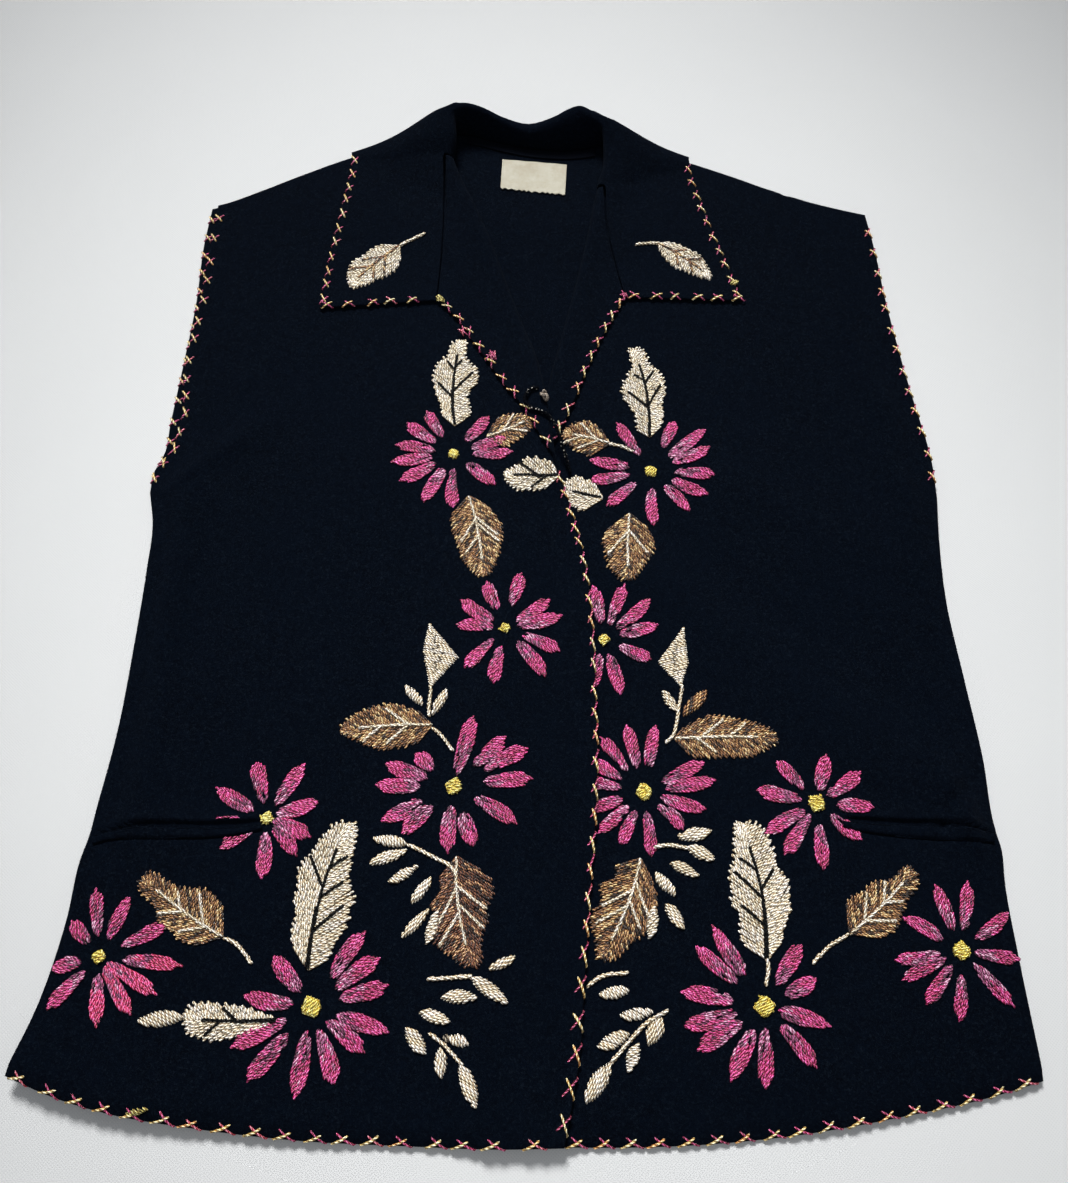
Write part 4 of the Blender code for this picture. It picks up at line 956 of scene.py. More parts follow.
def front_grid(side, step):
    hem, shoulder = (HEM_R, SHOULDER_R) if side == R else (HEM_L, SHOULDER_L)
    roll, cut = (ROLL_TAB_R, LAPEL_R) if side == R else (ROLL_TAB_L, LAPEL_L)
    sign = -1.0 if side == R else 1.0
    low_y = EDGE_R[0][0] if side == R else EDGE_L[0][0]
    break_y, gorge_y = roll[0][0], roll[-1][0]
    high_y, notch_y, tip_y = shoulder[-1][1], cut[-1][0], shoulder[0][1]
    corner_y = SIDE[0][2] if side == R else SIDE[0][4]
    start_x = SIDE[0][1] if side == R else SIDE[0][3]
    end_x = shoulder[-1][0] + (-1.1 if side == R else 1.1)
    ys = (spaced(low_y, -166.0, step) + spaced(-166.0, -124.0, 0.8)[1:] + spaced(-124.0, break_y - 18.0, step)[1:]
          + spaced(break_y - 18.0, break_y + 12.0, 1.6)[1:] + spaced(break_y + 12.0, notch_y, step)[1:]
          + spaced(notch_y, gorge_y, step)[1:] + spaced(gorge_y, high_y, step)[1:])
    y = np.array(ys)
    v = (y - low_y) / (high_y - low_y)
    across = int(275.0 / step)
    u = 1 - (1 - np.linspace(0.0, 1.0, across + 1)) ** 1.2
    curl = np.where(y <= gorge_y + 1e-6, ramp((y - break_y + 18.0) / 24.0), 0.0)
    radius = roll_r(side, np.maximum(y, break_y)) * ramp((y - break_y + 18.0) / 14.0)
    oy = corner_y + v * (tip_y - corner_y)
    ox = side_x(side, oy)
    if side == R:
        ox = ox + np.where(oy > ARM_INSET[0][0], smooth(oy, ARM_INSET), 0.0)
    iy = low_y + v * (high_y - low_y)
    ix = edge_x(side, iy) + np.where(iy <= gorge_y + 1e-6, sign * radius * np.minimum(1.0, curl * 2.0), 0.0)
    ends = hem[-1][0] if side == R else hem[0][0]
    bx = start_x + u * (ends - start_x)
    by = smooth(bx, hem)
    tx = ox[-1] + u * (end_x - ox[-1])
    ty = smooth(tx, shoulder)
    # the inner side starts and ends where the hem and the shoulder do
    lead = (bx[-1] - ix[0], by[-1] - iy[0])
    tail = (tx[-1] - ix[-1], ty[-1] - iy[-1])
    U, Vv = u[None, :], v[:, None]
    ix2, iy2 = ix + lead[0] * (1 - v) + tail[0] * v, iy + lead[1] * (1 - v) + tail[1] * v
    PX, PY = coons_grid(U, Vv, (ox, oy), (ix2, iy2), (bx, by), (tx, ty))
    PX = PX - U * (1 - Vv) * lead[0] - U * Vv * tail[0]
    PY = PY - U * (1 - Vv) * lead[1] - U * Vv * tail[1]
    PZ = front_z(side, PX, PY)
    arc, flap = 14, 30
    ex, ey, ez = PX[:, -1], PY[:, -1], PZ[:, -1]
    r = radius * np.minimum(1.0, curl * 2.0)
    a = -np.pi / 2 + np.pi * curl[:, None] * np.arange(1, arc + 1)[None] / arc
    AX = ex[:, None] - sign * r[:, None] * np.cos(a)
    AZ = ez[:, None] + r[:, None] * (1 + np.sin(a))
    AY = np.repeat(ey[:, None], arc, axis=1)
    wide = np.maximum(0.0, sign * (lapel_x(side, y) - ex))
    wide = np.where((y >= break_y) & (y <= gorge_y + 1e-6), wide * ramp((y - break_y) / 6.0), 0.0)
    k = np.arange(1, flap + 1)[None] / flap
    FX = ex[:, None] + sign * wide[:, None] * k
    FY = np.repeat(ey[:, None], flap, axis=1)
    swell = AZ[:, -1] - turned_z(side, ex, ey)
    FZ = np.where(wide[:, None] > 0, turned_z(side, FX, FY) + swell[:, None] * (1 - k), AZ[:, -1:])
    FX = np.where(wide[:, None] > 0, FX, AX[:, -1:])
    grid = np.stack([np.concatenate([PX, AX, FX], 1), np.concatenate([PY, AY, FY], 1), np.concatenate([PZ, AZ, FZ], 1)], -1)
    gorge_row = int(np.flatnonzero(y >= gorge_y - 1e-6)[0])
    skip = np.zeros((len(y) - 1, grid.shape[1] - 1), bool)
    skip[gorge_row:, across:] = True
    return grid, skip


def back_grid(step):
    tip_r, tip_l = SHOULDER_R[0], SHOULDER_L[0]
    xs = np.array(spaced(tip_r[0], SHOULDER_R[-1][0], step) + spaced(NECK[0][0], NECK[-1][0], step)[1:]
                  + spaced(SHOULDER_L[-1][0], tip_l[0], step)[1:])
    u = (xs - tip_r[0]) / (tip_l[0] - tip_r[0])
    v = np.linspace(0.0, 1.0, int(600.0 / step))
    neck = smooth(xs, NECK) - 1.5 * ramp(np.minimum(xs - NECK[0][0], NECK[-1][0] - xs) / 8.0)
    ty = np.where(xs <= NECK[0][0] + 1e-6, smooth(xs, SHOULDER_R), np.where(xs >= NECK[-1][0] - 1e-6, smooth(xs, SHOULDER_L), neck))
    oy = SIDE[0][2] + v * (tip_r[1] - SIDE[0][2])
    iy = SIDE[0][4] + v * (tip_l[1] - SIDE[0][4])
    bx = SIDE[0][1] + u * (SIDE[0][3] - SIDE[0][1])
    by = np.where(bx < 12.0, smooth(bx, HEM_R), smooth(bx, HEM_L))
    by = by + BACK_SHORT * ramp(np.minimum(bx - SIDE[0][1], SIDE[0][3] - bx) / 30.0)
    PX, PY = coons_grid(u[None, :], v[:, None], (side_x(R, oy), oy), (side_x(L, iy), iy), (bx, by), (xs, ty))
    return np.stack([PX, PY, back_z(PX, PY)], -1)


def collar_grid():
    stand, fall = 12, 34
    f = (np.arange(fall + 1) / fall) ** 1.2

    def flat(side, t):
        gorge, free = (GORGE_R, FALL_R) if side == R else (GORGE_L, FALL_L)
        sign = -1.0 if side == R else 1.0
        top = collar_row(0.0 if side == R else 16.0)
        y0 = gorge[0][0] + t * (top[5] - gorge[0][0])
        x0 = float(smooth(y0, gorge)) + sign * (0.7 + 0.9 * t)
        y1 = free[0][0] + t * (top[8] - free[0][0])
        x1 = float(smooth(y1, free))
        x, y = x0 + (x1 - x0) * f, y0 + (y1 - y0) * f
        row = np.stack([x, y, turned_z(side, x, y)], -1)
        return np.concatenate([np.repeat(row[:1], stand, axis=0), row])

    def round_neck(s):
        row = [collar_stand(s, k / stand) for k in range(stand)] + [collar_fall(s, g) for g in f]
        return np.array([[float(c) for c in p] for p in row])

    ring = sorted(set(np.round(np.concatenate([np.arange(0.0, 5.01, 0.14), np.arange(5.0, 12.01, 0.25), np.arange(12.0, 16.01, 0.14), [16.0]]), 3)))
    rows = [flat(R, t) for t in np.linspace(0.0, 1.0, 46)[:-1]]
    first = len(rows)
    rows += [round_neck(s) for s in ring]
    last = len(rows) - 1
    rows += [flat(L, t) for t in np.linspace(1.0, 0.0, 36)[1:]]
    grid = np.array(rows)
    skip = np.zeros((len(rows) - 1, grid.shape[1] - 1), bool)
    skip[:first, :stand] = True
    skip[last:, :stand] = True
    return grid, skip


_rows = {}
_collar_row = collar_row


def collar_row(s):
    if s not in _rows:
        _rows[s] = _collar_row(s)
    return _rows[s]


wool = wool_material("felted wool")
cloth = {}
cloth["back"] = shell("back_cloth", back_grid(5.0), wool)
for side, name in ((R, "front_right"), (L, "front_left")):
    grid, skip = front_grid(side, 3.3)
    cloth[name] = shell(name + "_cloth", grid, wool, skip=skip)
grid, skip = collar_grid()
cloth["collar"] = shell("collar_cloth", grid, wool, skip=skip)
for name, piece in cloth.items():
    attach(piece, "root")
    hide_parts(name)

tape_rows = []
for d in (8.6, 6.6, 4.6, 3.2, 1.9):
    x = np.linspace(-50.0, 38.0, 45)
    y = smooth(x, NECK) - d
    tape_rows.append(np.stack([x, y, back_z(x, y) + WALL / 2 + GAP + 0.42 + 0.12 * np.sin(x * 0.21)], -1))
tape = shell("neck_tape_cloth", tape_rows, tape_material(), wall=0.8, rim=0.25)

label_rows = []
for v in np.linspace(0.0, 1.0, 25):
    u = np.linspace(0.0, 1.0, 61)
    x = (1 - v) * (LABEL[3][0] * (1 - u) + LABEL[2][0] * u) + v * (LABEL[0][0] * (1 - u) + LABEL[1][0] * u)
    y = (1 - v) * (LABEL[3][1] * (1 - u) + LABEL[2][1] * u) + v * (LABEL[0][1] * (1 - u) + LABEL[1][1] * u)
    tooth = np.abs((u * 11.0 + 0.2 * np.sin(u * 17.0)) % 1.0 - 0.5) * 2.0
    y = y + (1 - v) ** 6 * (1.3 * tooth - 0.2)
    z = WALL + PLY + GAP + 0.35 + 0.35 * (1 - v) ** 2 * (0.5 + 0.5 * np.sin(u * 9.0 + 0.6)) + 0.12 * np.sin(u * 21.0 + v * 3.0)
    label_rows.append(np.stack([x, y, z], -1))
label = shell("label_cloth", label_rows, label_material(), wall=0.5, rim=0.15)

welts = {}
for side, name, table in ((R, "pocket_welt_right", POCKET_R), (L, "pocket_welt_left", POCKET_L)):
    rows = []
    x = np.linspace(table[0][0], table[-1][0], 61)
    for v in np.linspace(0.0, 1.0, 13):
        low, high = smooth(x, table, 3), smooth(x, table, 2)
        y = low + (high - low) * v
        base = front_z(side, x, low - 2.5) * (1 - v) + (front_z(side, x, high + 0.8) + 0.55) * v
        rise = 1.05 * ramp(v / 0.3) + 0.30 * math.sin(math.pi * v)
        rows.append(np.stack([x, y, base + WALL / 2 + rise - 0.35], -1))
    welts[name] = shell(name + "_cloth", rows, wool, wall=WELT, rim=0.5)

for piece, node, slot_name in ((tape, "neck_tape", "tape"), (label, "label", "label"),
                               (welts["pocket_welt_right"], "pocket_welt_right", "wool"),
                               (welts["pocket_welt_left"], "pocket_welt_left", "wool")):
    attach(piece, "root")
    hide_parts(node)

# ---------------------------------------------------------------- embroidery: tables

# Yarn colours, as displayed.
MAGENTA = ((214, 20, 126), (198, 13, 110), (238, 56, 158), (208, 16, 124), (168, 8, 86))
CRIMSON = ((242, 40, 132), (228, 30, 116), (250, 66, 152), (204, 20, 98))
MAUVE = ((152, 62, 112), (184, 98, 144), (226, 158, 194), (98, 26, 66), (190, 70, 132), (126, 42, 88))
CREAM = ((251, 243, 218), (245, 235, 204), (253, 248, 230), (236, 222, 186))
BROWN = ((160, 110, 54), (116, 74, 34), (192, 146, 84), (230, 196, 130), (52, 31, 15), (134, 86, 40))
CHESTNUT = ((120, 70, 38), (90, 48, 28), (150, 96, 54), (198, 148, 96), (50, 28, 18), (106, 58, 32))
YELLOW = ((255, 238, 84), (250, 226, 60), (255, 246, 128), (230, 200, 52))
BLACK = ((9, 10, 11), (5, 6, 7), (14, 15, 17))
PEACH = ((255, 234, 158), (255, 240, 176), (254, 224, 140), (255, 208, 128))
PINK = ((196, 56, 112), (222, 66, 134), (206, 48, 120), (236, 106, 132))
OLIVE = ((206, 190, 84), (222, 206, 106), (180, 164, 70))

# Daisies: centre, a petal's width, the yellow middle's radius, then each petal's direction in degrees
# (0 = right, 90 = to the neck) and where it starts and ends from the centre.
#  front   x       y     width middle petals
DAISIES = (
    (R,   -53.0,   90.0,  8.9,  3.8, ((0, 11, 37), (20, 11, 36), (50, 11, 35), (120, 13, 36), (145, 13, 37), (170, 11, 37), (190, 12, 39), (210, 12, 38), (240, 11, 39), (270, 10, 38), (320, 10, 34))),
    (R,   -20.0,  -26.0,  8.8,  3.3, ((15, 7, 35), (35, 7, 33), (75, 14, 37), (110, 12, 33), (145, 8, 33), (175, 6, 29), (225, 9, 33), (260, 11, 35), (310, 10, 38), (340, 10, 35))),
    (R,   -47.0, -118.0,  9.9,  5.0, ((5, 16, 44), (30, 18, 47), (45, 15, 40), (75, 6, 43), (140, 15, 29), (160, 15, 41), (180, 18, 44), (205, 18, 44), (225, 15, 38), (270, 10, 37), (290, 15, 36), (330, 13, 41))),
    (R,  -147.0, -136.0,  9.3,  3.8, ((20, 5, 30), (60, 8, 36), (105, 8, 34), (150, 8, 34), (215, 6, 29), (270, 7, 33), (310, 6, 27), (340, 3, 27))),
    (R,  -227.0, -208.0,  8.3,  3.8, ((25, 12, 37), (70, 9, 34), (100, 10, 36), (135, 9, 25), (195, 9, 25), (230, 9, 35), (275, 8, 35), (305, 5, 36), (330, 5, 38), (355, 12, 44))),
    (R,  -116.0, -232.0,  9.8,  5.6, ((15, 14, 41), (35, 14, 42), (55, 16, 46), (130, 9, 34), (170, 9, 36), (205, 13, 44), (230, 16, 47), (265, 11, 44), (290, 11, 40), (320, 10, 36), (345, 13, 43))),
    (L,    68.0,   79.0,  8.6,  4.2, ((25, 14, 42), (40, 14, 48), (65, 18, 40), (120, 12, 41), (170, 13, 39), (190, 13, 39), (220, 12, 37), (270, 11, 38), (310, 12, 36), (335, 13, 39), (355, 14, 40))),
    (L,    37.0,  -31.0,  8.6,  3.6, ((15, 9, 33), (40, 9, 38), (70, 9, 37), (100, 9, 35), (145, 9, 23), (180, 9, 26), (225, 9, 26), (255, 9, 33), (285, 9, 36), (335, 9, 30))),
    (L,    57.0, -120.0,  8.2,  5.0, ((10, 11, 41), (25, 11, 39), (80, 13, 40), (105, 13, 40), (130, 14, 39), (150, 14, 34), (170, 12, 34), (195, 12, 33), (220, 11, 35), (245, 11, 33), (275, 10, 36), (315, 10, 30), (345, 9, 36))),
    (L,   151.0, -126.0,  9.0,  5.2, ((357, 11, 32), (35, 7, 32), (75, 7, 29), (130, 10, 32), (170, 8, 34), (210, 7, 35), (235, 7, 35), (270, 11, 37), (320, 9, 31))),
    (L,   220.0, -203.0,  7.9,  5.0, ((35, 10, 35), (75, 10, 37), (105, 10, 36), (150, 10, 34), (185, 11, 37), (205, 9, 37), (230, 9, 36), (260, 12, 36), (310, 8, 37), (350, 6, 31))),
    (L,   115.0, -231.0,  9.3,  5.8, ((25, 12, 31), (55, 12, 38), (120, 17, 48), (140, 17, 46), (170, 15, 44), (190, 14, 44), (210, 13, 42), (240, 12, 41), (265, 10, 40), (310, 11, 38), (345, 7, 35))),
)
# Width of a petal along it, as a share of its widest.
PETAL = ((0.0, 0.34), (0.12, 0.60), (0.35, 0.86), (0.62, 1.0), (0.80, 0.84), (0.92, 0.52), (1.0, 0.18))
# Leaf shapes: half width from the base to the tip, as a share of the widest, on the left and on the right.
SHAPES = {
    "oval": ((0.0, 0.30, 0.30), (0.10, 0.62, 0.66), (0.28, 0.94, 0.90), (0.48, 1.0, 1.0), (0.68, 0.86, 0.90),
             (0.86, 0.52, 0.56), (0.96, 0.24, 0.26), (1.0, 0.10, 0.10)),
    "long": ((0.0, 0.06, 0.06), (0.10, 0.32, 0.28), (0.30, 0.72, 0.60), (0.52, 0.90, 0.86), (0.74, 1.0, 1.0),
             (0.90, 0.78, 0.84), (0.97, 0.45, 0.50), (1.0, 0.15, 0.15)),
    "neck": ((0.0, 0.26, 0.30), (0.08, 0.52, 0.58), (0.22, 0.60, 0.70), (0.34, 0.80, 0.66), (0.46, 1.0, 0.92),
             (0.60, 0.96, 1.0), (0.70, 0.70, 0.78), (0.78, 0.42, 0.44), (0.88, 0.36, 0.42), (0.96, 0.30, 0.34), (1.0, 0.12, 0.12)),
    "feather": ((0.0, 0.22, 0.26), (0.08, 0.52, 0.56), (0.22, 0.84, 0.80), (0.30, 0.80, 0.96), (0.42, 1.0, 0.92),
                (0.50, 0.88, 1.0), (0.62, 0.90, 0.76), (0.72, 0.70, 0.78), (0.86, 0.56, 0.60), (0.95, 0.38, 0.42), (1.0, 0.14, 0.16)),
    "pear": ((0.0, 0.36, 0.40), (0.12, 0.82, 0.78), (0.28, 1.0, 0.96), (0.44, 0.84, 1.0), (0.56, 0.82, 0.78),
             (0.68, 0.56, 0.60), (0.80, 0.46, 0.52), (0.92, 0.40, 0.42), (1.0, 0.16, 0.16)),
    "oak": ((0.0, 0.28, 0.44), (0.12, 0.60, 0.66), (0.26, 0.98, 0.58), (0.38, 1.0, 0.96), (0.50, 0.80, 0.84),
            (0.62, 0.86, 1.0), (0.74, 0.60, 0.86), (0.86, 0.46, 0.46), (0.95, 0.32, 0.26), (1.0, 0.10, 0.10)),
}
# Leaves, base to tip. bow = sideways bend; veins = how far up each side vein starts, left ones positive.
#  place  yarn     shape      base_x   base_y   tip_x   tip_y  width  bow   veins
LEAVES = (
    (R, "cream", "neck",     -53.0,   110.0,   -50.0,  174.0,  28.0,   3.0, (0.30, -0.38, 0.62, -0.66)),
    (R, "brown", "oval",     -33.0,   102.0,    -3.0,  111.0,  21.0,   1.0, (0.34, -0.46)),
    (R, "cream", "oval",      12.0,    73.0,   -22.0,   76.0,  21.0,   2.0, (0.20, -0.40)),
    (R, "brown", "oval",     -43.0,    61.0,   -33.0,    7.0,  28.0,   1.5, (0.26, -0.30, 0.34, -0.50)),
    (R, "brown", "oval",     -60.0,   -83.0,  -111.0,  -87.0,  25.0,  -1.5, (0.25, -0.25, 0.55)),
    (R, "cream", "feather", -119.0,  -214.0,   -102.0, -137.0,  31.0,   4.4, (0.52, -0.24, -0.46, -0.66)),
    (R, "brown", "pear",    -164.0,  -198.0,  -210.0, -167.0,  27.0,   1.5, (0.18, -0.22, 0.45, -0.50)),
    (R, "cream", "long",    -133.0,  -238.0,  -180.0, -238.0,  18.0,   1.0, (-0.42, 0.58)),
    (R, "chestnut", "oak",   -44.0,  -156.0,   -34.0, -213.0,  33.0,  -3.0, (0.26, -0.28, 0.42, -0.50)),
    (L, "cream", "neck",      68.0,   103.0,    59.0,  169.0,  27.0,  -3.5, (0.30, -0.34, 0.60, -0.58)),
    (L, "brown", "oval",      43.0,    98.0,    14.0,  105.0,  23.0,  -1.0, (0.22, -0.28, 0.58)),
    (L, "cream", "oval",      38.0,    60.0,    10.0,   67.0,  21.5,   0.0, ()),
    (L, "brown", "oval",      54.0,    50.0,    52.0,    5.0,  29.0,  -1.0, (0.25, -0.28)),
    (L, "brown", "oval",      75.0,   -90.0,   133.0,  -90.0,  24.0,   1.0, (0.25, -0.20, 0.52)),
    (L, "cream", "feather",  118.0,  -208.0,   108.0, -136.0,  31.0,  -4.0, (0.22, 0.42, 0.62, -0.48)),
    (L, "brown", "pear",     162.0,  -195.0,   200.0, -161.0,  26.0,  -1.5, (0.20, -0.22, 0.48, -0.50)),
    (L, "brown", "oak",       54.0,  -156.0,    31.0, -208.0,  32.0,   3.0, (0.22, -0.30, 0.40, -0.46)),
)
#  collar's side  as LEAVES
COLLAR_LEAVES = (
    (R, "cream", "oval",     -93.0,   245.0,  -124.0,  212.0,  23.0,  -1.5, (0.25, -0.30, 0.48, -0.54)),
    (L, "cream", "oval",      79.0,   249.0,   112.0,  222.0,  17.0,   1.5, (0.25, -0.30, 0.50, -0.56)),
)
# Small leaves in satin stitch, from end to end.
#  front  yarn       x0      y0      x1      y1    width
LEAFLETS = (
    (R, "cream",   -77.0,  -59.0,  -65.0,  -72.0,  5.4),
    (R, "cream",   -52.0,  -61.0,  -60.0,  -77.0,  5.4),
    (R, "cream",  -203.0, -239.0, -179.0, -237.0,  8.0),
    (R, "cream",   -90.0, -146.0,  -70.0, -149.0,  6.2),
    (R, "cream",   -91.0, -160.0,  -71.0, -152.0,  6.4),
    (R, "cream",   -81.0, -170.0,  -65.0, -161.0,  5.2),
    (R, "cream",   -68.0, -181.0,  -57.0, -166.0,  5.6),
    (R, "cream",   -72.0, -198.0,  -58.0, -183.0,  5.4),
    (R, "cream",   -59.0, -202.0,  -53.0, -183.0,  5.8),
    (R, "cream",   -36.0, -217.0,  -16.0, -230.0,  7.2),
    (R, "cream",   -51.0, -227.0,  -32.0, -227.0,  7.2),
    (R, "cream",   -26.0, -214.0,  -12.0, -207.0,  4.8),
    (R, "cream",   -62.0, -234.0,  -45.0, -239.0,  6.3),
    (R, "cream",   -68.0, -241.0,  -57.0, -255.0,  7.6),
    (R, "cream",   -50.0, -251.0,  -49.0, -266.0,  6.5),
    (R, "cream",   -35.0, -250.0,  -46.0, -246.0,  5.7),
    (R, "cream",   -40.0, -258.0,  -31.0, -279.0,  8.0),
    (L, "cream",    69.0,  -62.0,   78.0,  -75.0,  5.6),
    (L, "brown",    80.0,  -77.0,   95.0,  -61.0,  7.3),
    (L, "cream",    74.0, -145.0,   94.0, -141.0,  7.5),
    (L, "cream",    79.0, -150.0,   94.0, -156.0,  7.0),
    (L, "cream",    69.0, -158.0,   85.0, -165.0,  6.0),
    (L, "cream",    61.0, -163.0,   72.0, -176.0,  6.0),
    (L, "cream",    66.0, -179.0,   76.0, -193.0,  6.9),
    (L, "cream",    61.0, -181.0,   57.0, -198.0,  6.4),
    (L, "cream",    30.0, -226.0,   47.0, -223.0,  6.0),
    (L, "cream",    40.0, -236.0,   58.0, -234.0,  6.0),
    (L, "cream",    29.0, -251.0,   46.0, -244.0,  7.6),
    (L, "cream",    44.0, -262.0,   50.0, -248.0,  6.3),
    (L, "cream",    55.0, -250.0,   62.0, -236.0,  8.6),
    (L, "cream",    35.0, -258.0,   23.0, -277.0,  9.0),
)
# Stems in stem stitch: front, then points.
STEMS = (
    (R, ((-61.0, -60.0), (-62.0, -69.0), (-62.0, -78.0))),
    (R, ((-60.0, -84.0), (-53.0, -91.0), (-48.0, -98.0))),
    (R, ((-164.0, -198.0), (-156.0, -202.0), (-148.0, -211.0))),
    (R, ((-71.0, -149.0), (-59.0, -155.0), (-47.0, -161.0), (-44.0, -167.0))),
    (R, ((-58.0, -218.0), (-47.0, -218.0), (-35.0, -217.0))),
    (R, ((-56.0, -244.0), (-48.0, -250.0), (-40.0, -258.0))),
    (L, ((58.0, 92.0), (51.0, 96.0), (43.0, 98.0))),
    (L, ((81.0, -58.0), (78.0, -73.0), (75.0, -87.0), (70.0, -92.0))),
    (L, ((118.0, -207.0), (118.0, -214.0), (116.0, -221.0))),
    (L, ((162.0, -195.0), (151.0, -201.0), (141.0, -210.0))),
    (L, ((61.0, -150.0), (71.0, -149.0), (80.0, -151.0))),
    (L, ((24.0, -222.0), (33.0, -216.0), (46.0, -215.0))),
    (L, ((66.0, -233.0), (56.0, -238.0), (48.0, -245.0), (35.0, -259.0))),
)
COLLAR_STEMS = (
    (R, ((-76.0, 255.0), (-85.0, 250.0), (-93.0, 245.0))),
    (L, ((63.0, 248.0), (71.0, 249.0), (79.0, 249.0))),
)
# Kite-shaped buds: front, then their corners in order.
BUDS = (
    (R, ((-64.0, -22.0), (-46.0, -43.0), (-62.0, -61.0), (-67.0, -39.0))),
    (L, ((83.0, -24.0), (85.0, -45.0), (80.0, -59.0), (67.0, -45.0))),
)


# ---------------------------------------------------------------- embroidery: rules

def body_top(side):
    return lambda x, y: front_z(side, x, y) + WALL / 2


def turned_top(side):
    return lambda x, y: turned_z(side, x, y) + WALL / 2


def at_slit(side, a, b):
    """Stitches at a pocket's slit stop there: on the lip above it, or below its welt."""
    table = POCKET_R if side == R else POCKET_L
    mid = (a + b) / 2
    near = (mid[:, 0] > table[0][0] - 1.0) & (mid[:, 0] < -151.0) if side == R else (mid[:, 0] > 171.0) & (mid[:, 0] < 246.0)
    high, low = smooth(mid[:, 0], table, 1) + 0.7, smooth(mid[:, 0], table, 3) - 0.2
    keep = ~near | (mid[:, 1] > high) | (mid[:, 1] < low)
    above, below = near & (mid[:, 1] > high), near & (mid[:, 1] < low)
    a, b = a.copy(), b.copy()
    for end, other in ((a, b), (b, a)):
        for where, line, sign in ((above, high, 1.0), (below, low, -1.0)):
            cross = where & ((end[:, 1] - line) * sign < 0)
            t = (line - other[:, 1]) / np.where(cross, end[:, 1] - other[:, 1], 1.0)
            end[cross] = (other + (end - other) * t[:, None])[cross]
    return a, b, keep


def kept(side, a, b):
    """Stitches that the cloth's edges leave in place: cut at the right front's edge, left out well under it."""
    a, b = np.asarray(a, float).reshape(-1, 2), np.asarray(b, float).reshape(-1, 2)
    a, b, clear = at_slit(side, a, b)
    mid = (a + b) / 2
    edge = edge_x(R, np.clip(mid[:, 1], -297.0, 82.0))
    if side == R:
        edge = edge - 1.2
        keep = clear & ((mid[:, 0] < edge - 0.6) | (mid[:, 1] > 84.0))
        a, b, edge = a[keep], b[keep], edge[keep]
        a = np.where((a[:, :1] > edge[:, None]) & (a[:, 1:] < 84.0), np.stack([edge, a[:, 1]], 1), a)
        b = np.where((b[:, :1] > edge[:, None]) & (b[:, 1:] < 84.0), np.stack([edge, b[:, 1]], 1), b)
        return a, b, np.flatnonzero(keep)
    keep = clear & ((mid[:, 0] > edge - 9.0) | (mid[:, 1] > 84.0))
    return a[keep], b[keep], np.flatnonzero(keep)


def add(threads, side, surface, stitches, width, lift=0.0, clip=True, **how):
    """stitches: rows of (ax, ay, bx, by, colour)."""
    if not stitches:
        return
    a = np.array([s[0:2] for s in stitches], float)
    b = np.array([s[2:4] for s in stitches], float)
    tones = np.array([s[4] for s in stitches], float)
    if clip:
        a, b, ids = kept(side, a, b)
        tones = tones[ids]
    n = len(a)
    if not n:
        return
    rng = threads.rng
    w = width * (1 + 0.14 * (rng.random(n) * 2 - 1))
    lift = lift + 0.16 * rng.random(n)[:, None]
    threads.lay(surface, a, b, w, tones, lift=lift, bow=0.16 * rng.standard_normal(n), **how)


def petal(threads, side, surface, cx, cy, angle, r0, r1, width, palette):
    rng = threads.rng
    width = width * 0.94
    a = math.radians(angle + 1.2 * rng.standard_normal())
    ax, nx = np.array([math.cos(a), math.sin(a)]), np.array([-math.sin(a), math.cos(a)])
    r1 = r1 * 0.99
    span = r1 - r0
    n = max(5, int(round(width / 1.12)))
    centre = np.array([cx, cy])
    turn_at = 0.43 + 0.07 * rng.standard_normal()
    slant = 0.10 * rng.standard_normal()
    shift = 0.07 * rng.standard_normal()
    bend = 0.6 * rng.standard_normal()
    way = 1.0 if rng.random() < 0.5 else -1.0

    places = np.linspace(0.0, 1.0, 101)
    profile = smooth(places, PETAL)

    def half(t):
        t = min(1.0, max(0.0, t))
        return width / 2 * float(np.interp(t + shift * math.sin(math.pi * t), places, profile))

    def point(q, t):
        return centre + ax * (r0 + span * t) + nx * (q * half(t) + bend * math.sin(math.pi * min(1.0, max(0.0, t))))

    out = []
    for j in range(n):
        q = (j + 0.5) / n * 2 - 1
        t0 = 0.01 + 0.10 * q * q + 0.05 * rng.random()
        t1 = 1 - 0.15 * abs(q) ** 1.5 - 0.08 * rng.random()
        t = t0
        step = (1.6 + 2.3 * ((j * 0.618 + 0.37 * rng.random()) % 1.0)) / span
        while t < t1 - 0.02:
            e = min(t1, t + step)
            if (t1 - e) * span < 1.6:
                e = t1
            mid = (t + e) / 2
            outer = mid + 0.12 * rng.standard_normal() + slant * q > turn_at
            gap = not outer and mid < 0.34 and rng.random() < 0.13
            if not gap:
                mixed = palette if outer or rng.random() < 0.14 else MAUVE
                lean = (0.42 * way + 0.25 * rng.standard_normal()) / n
                p, g = point(q - lean, t - 0.5 / span), point(q + lean, e + 0.6 / span)
                out.append((p[0], p[1], g[0], g[1], threads.tone(mixed, 0.16)))
            t = e
            step = (3.0 + 1.5 * rng.random()) / span
    add(threads, side, surface, out, 1.38, flat=0.86)


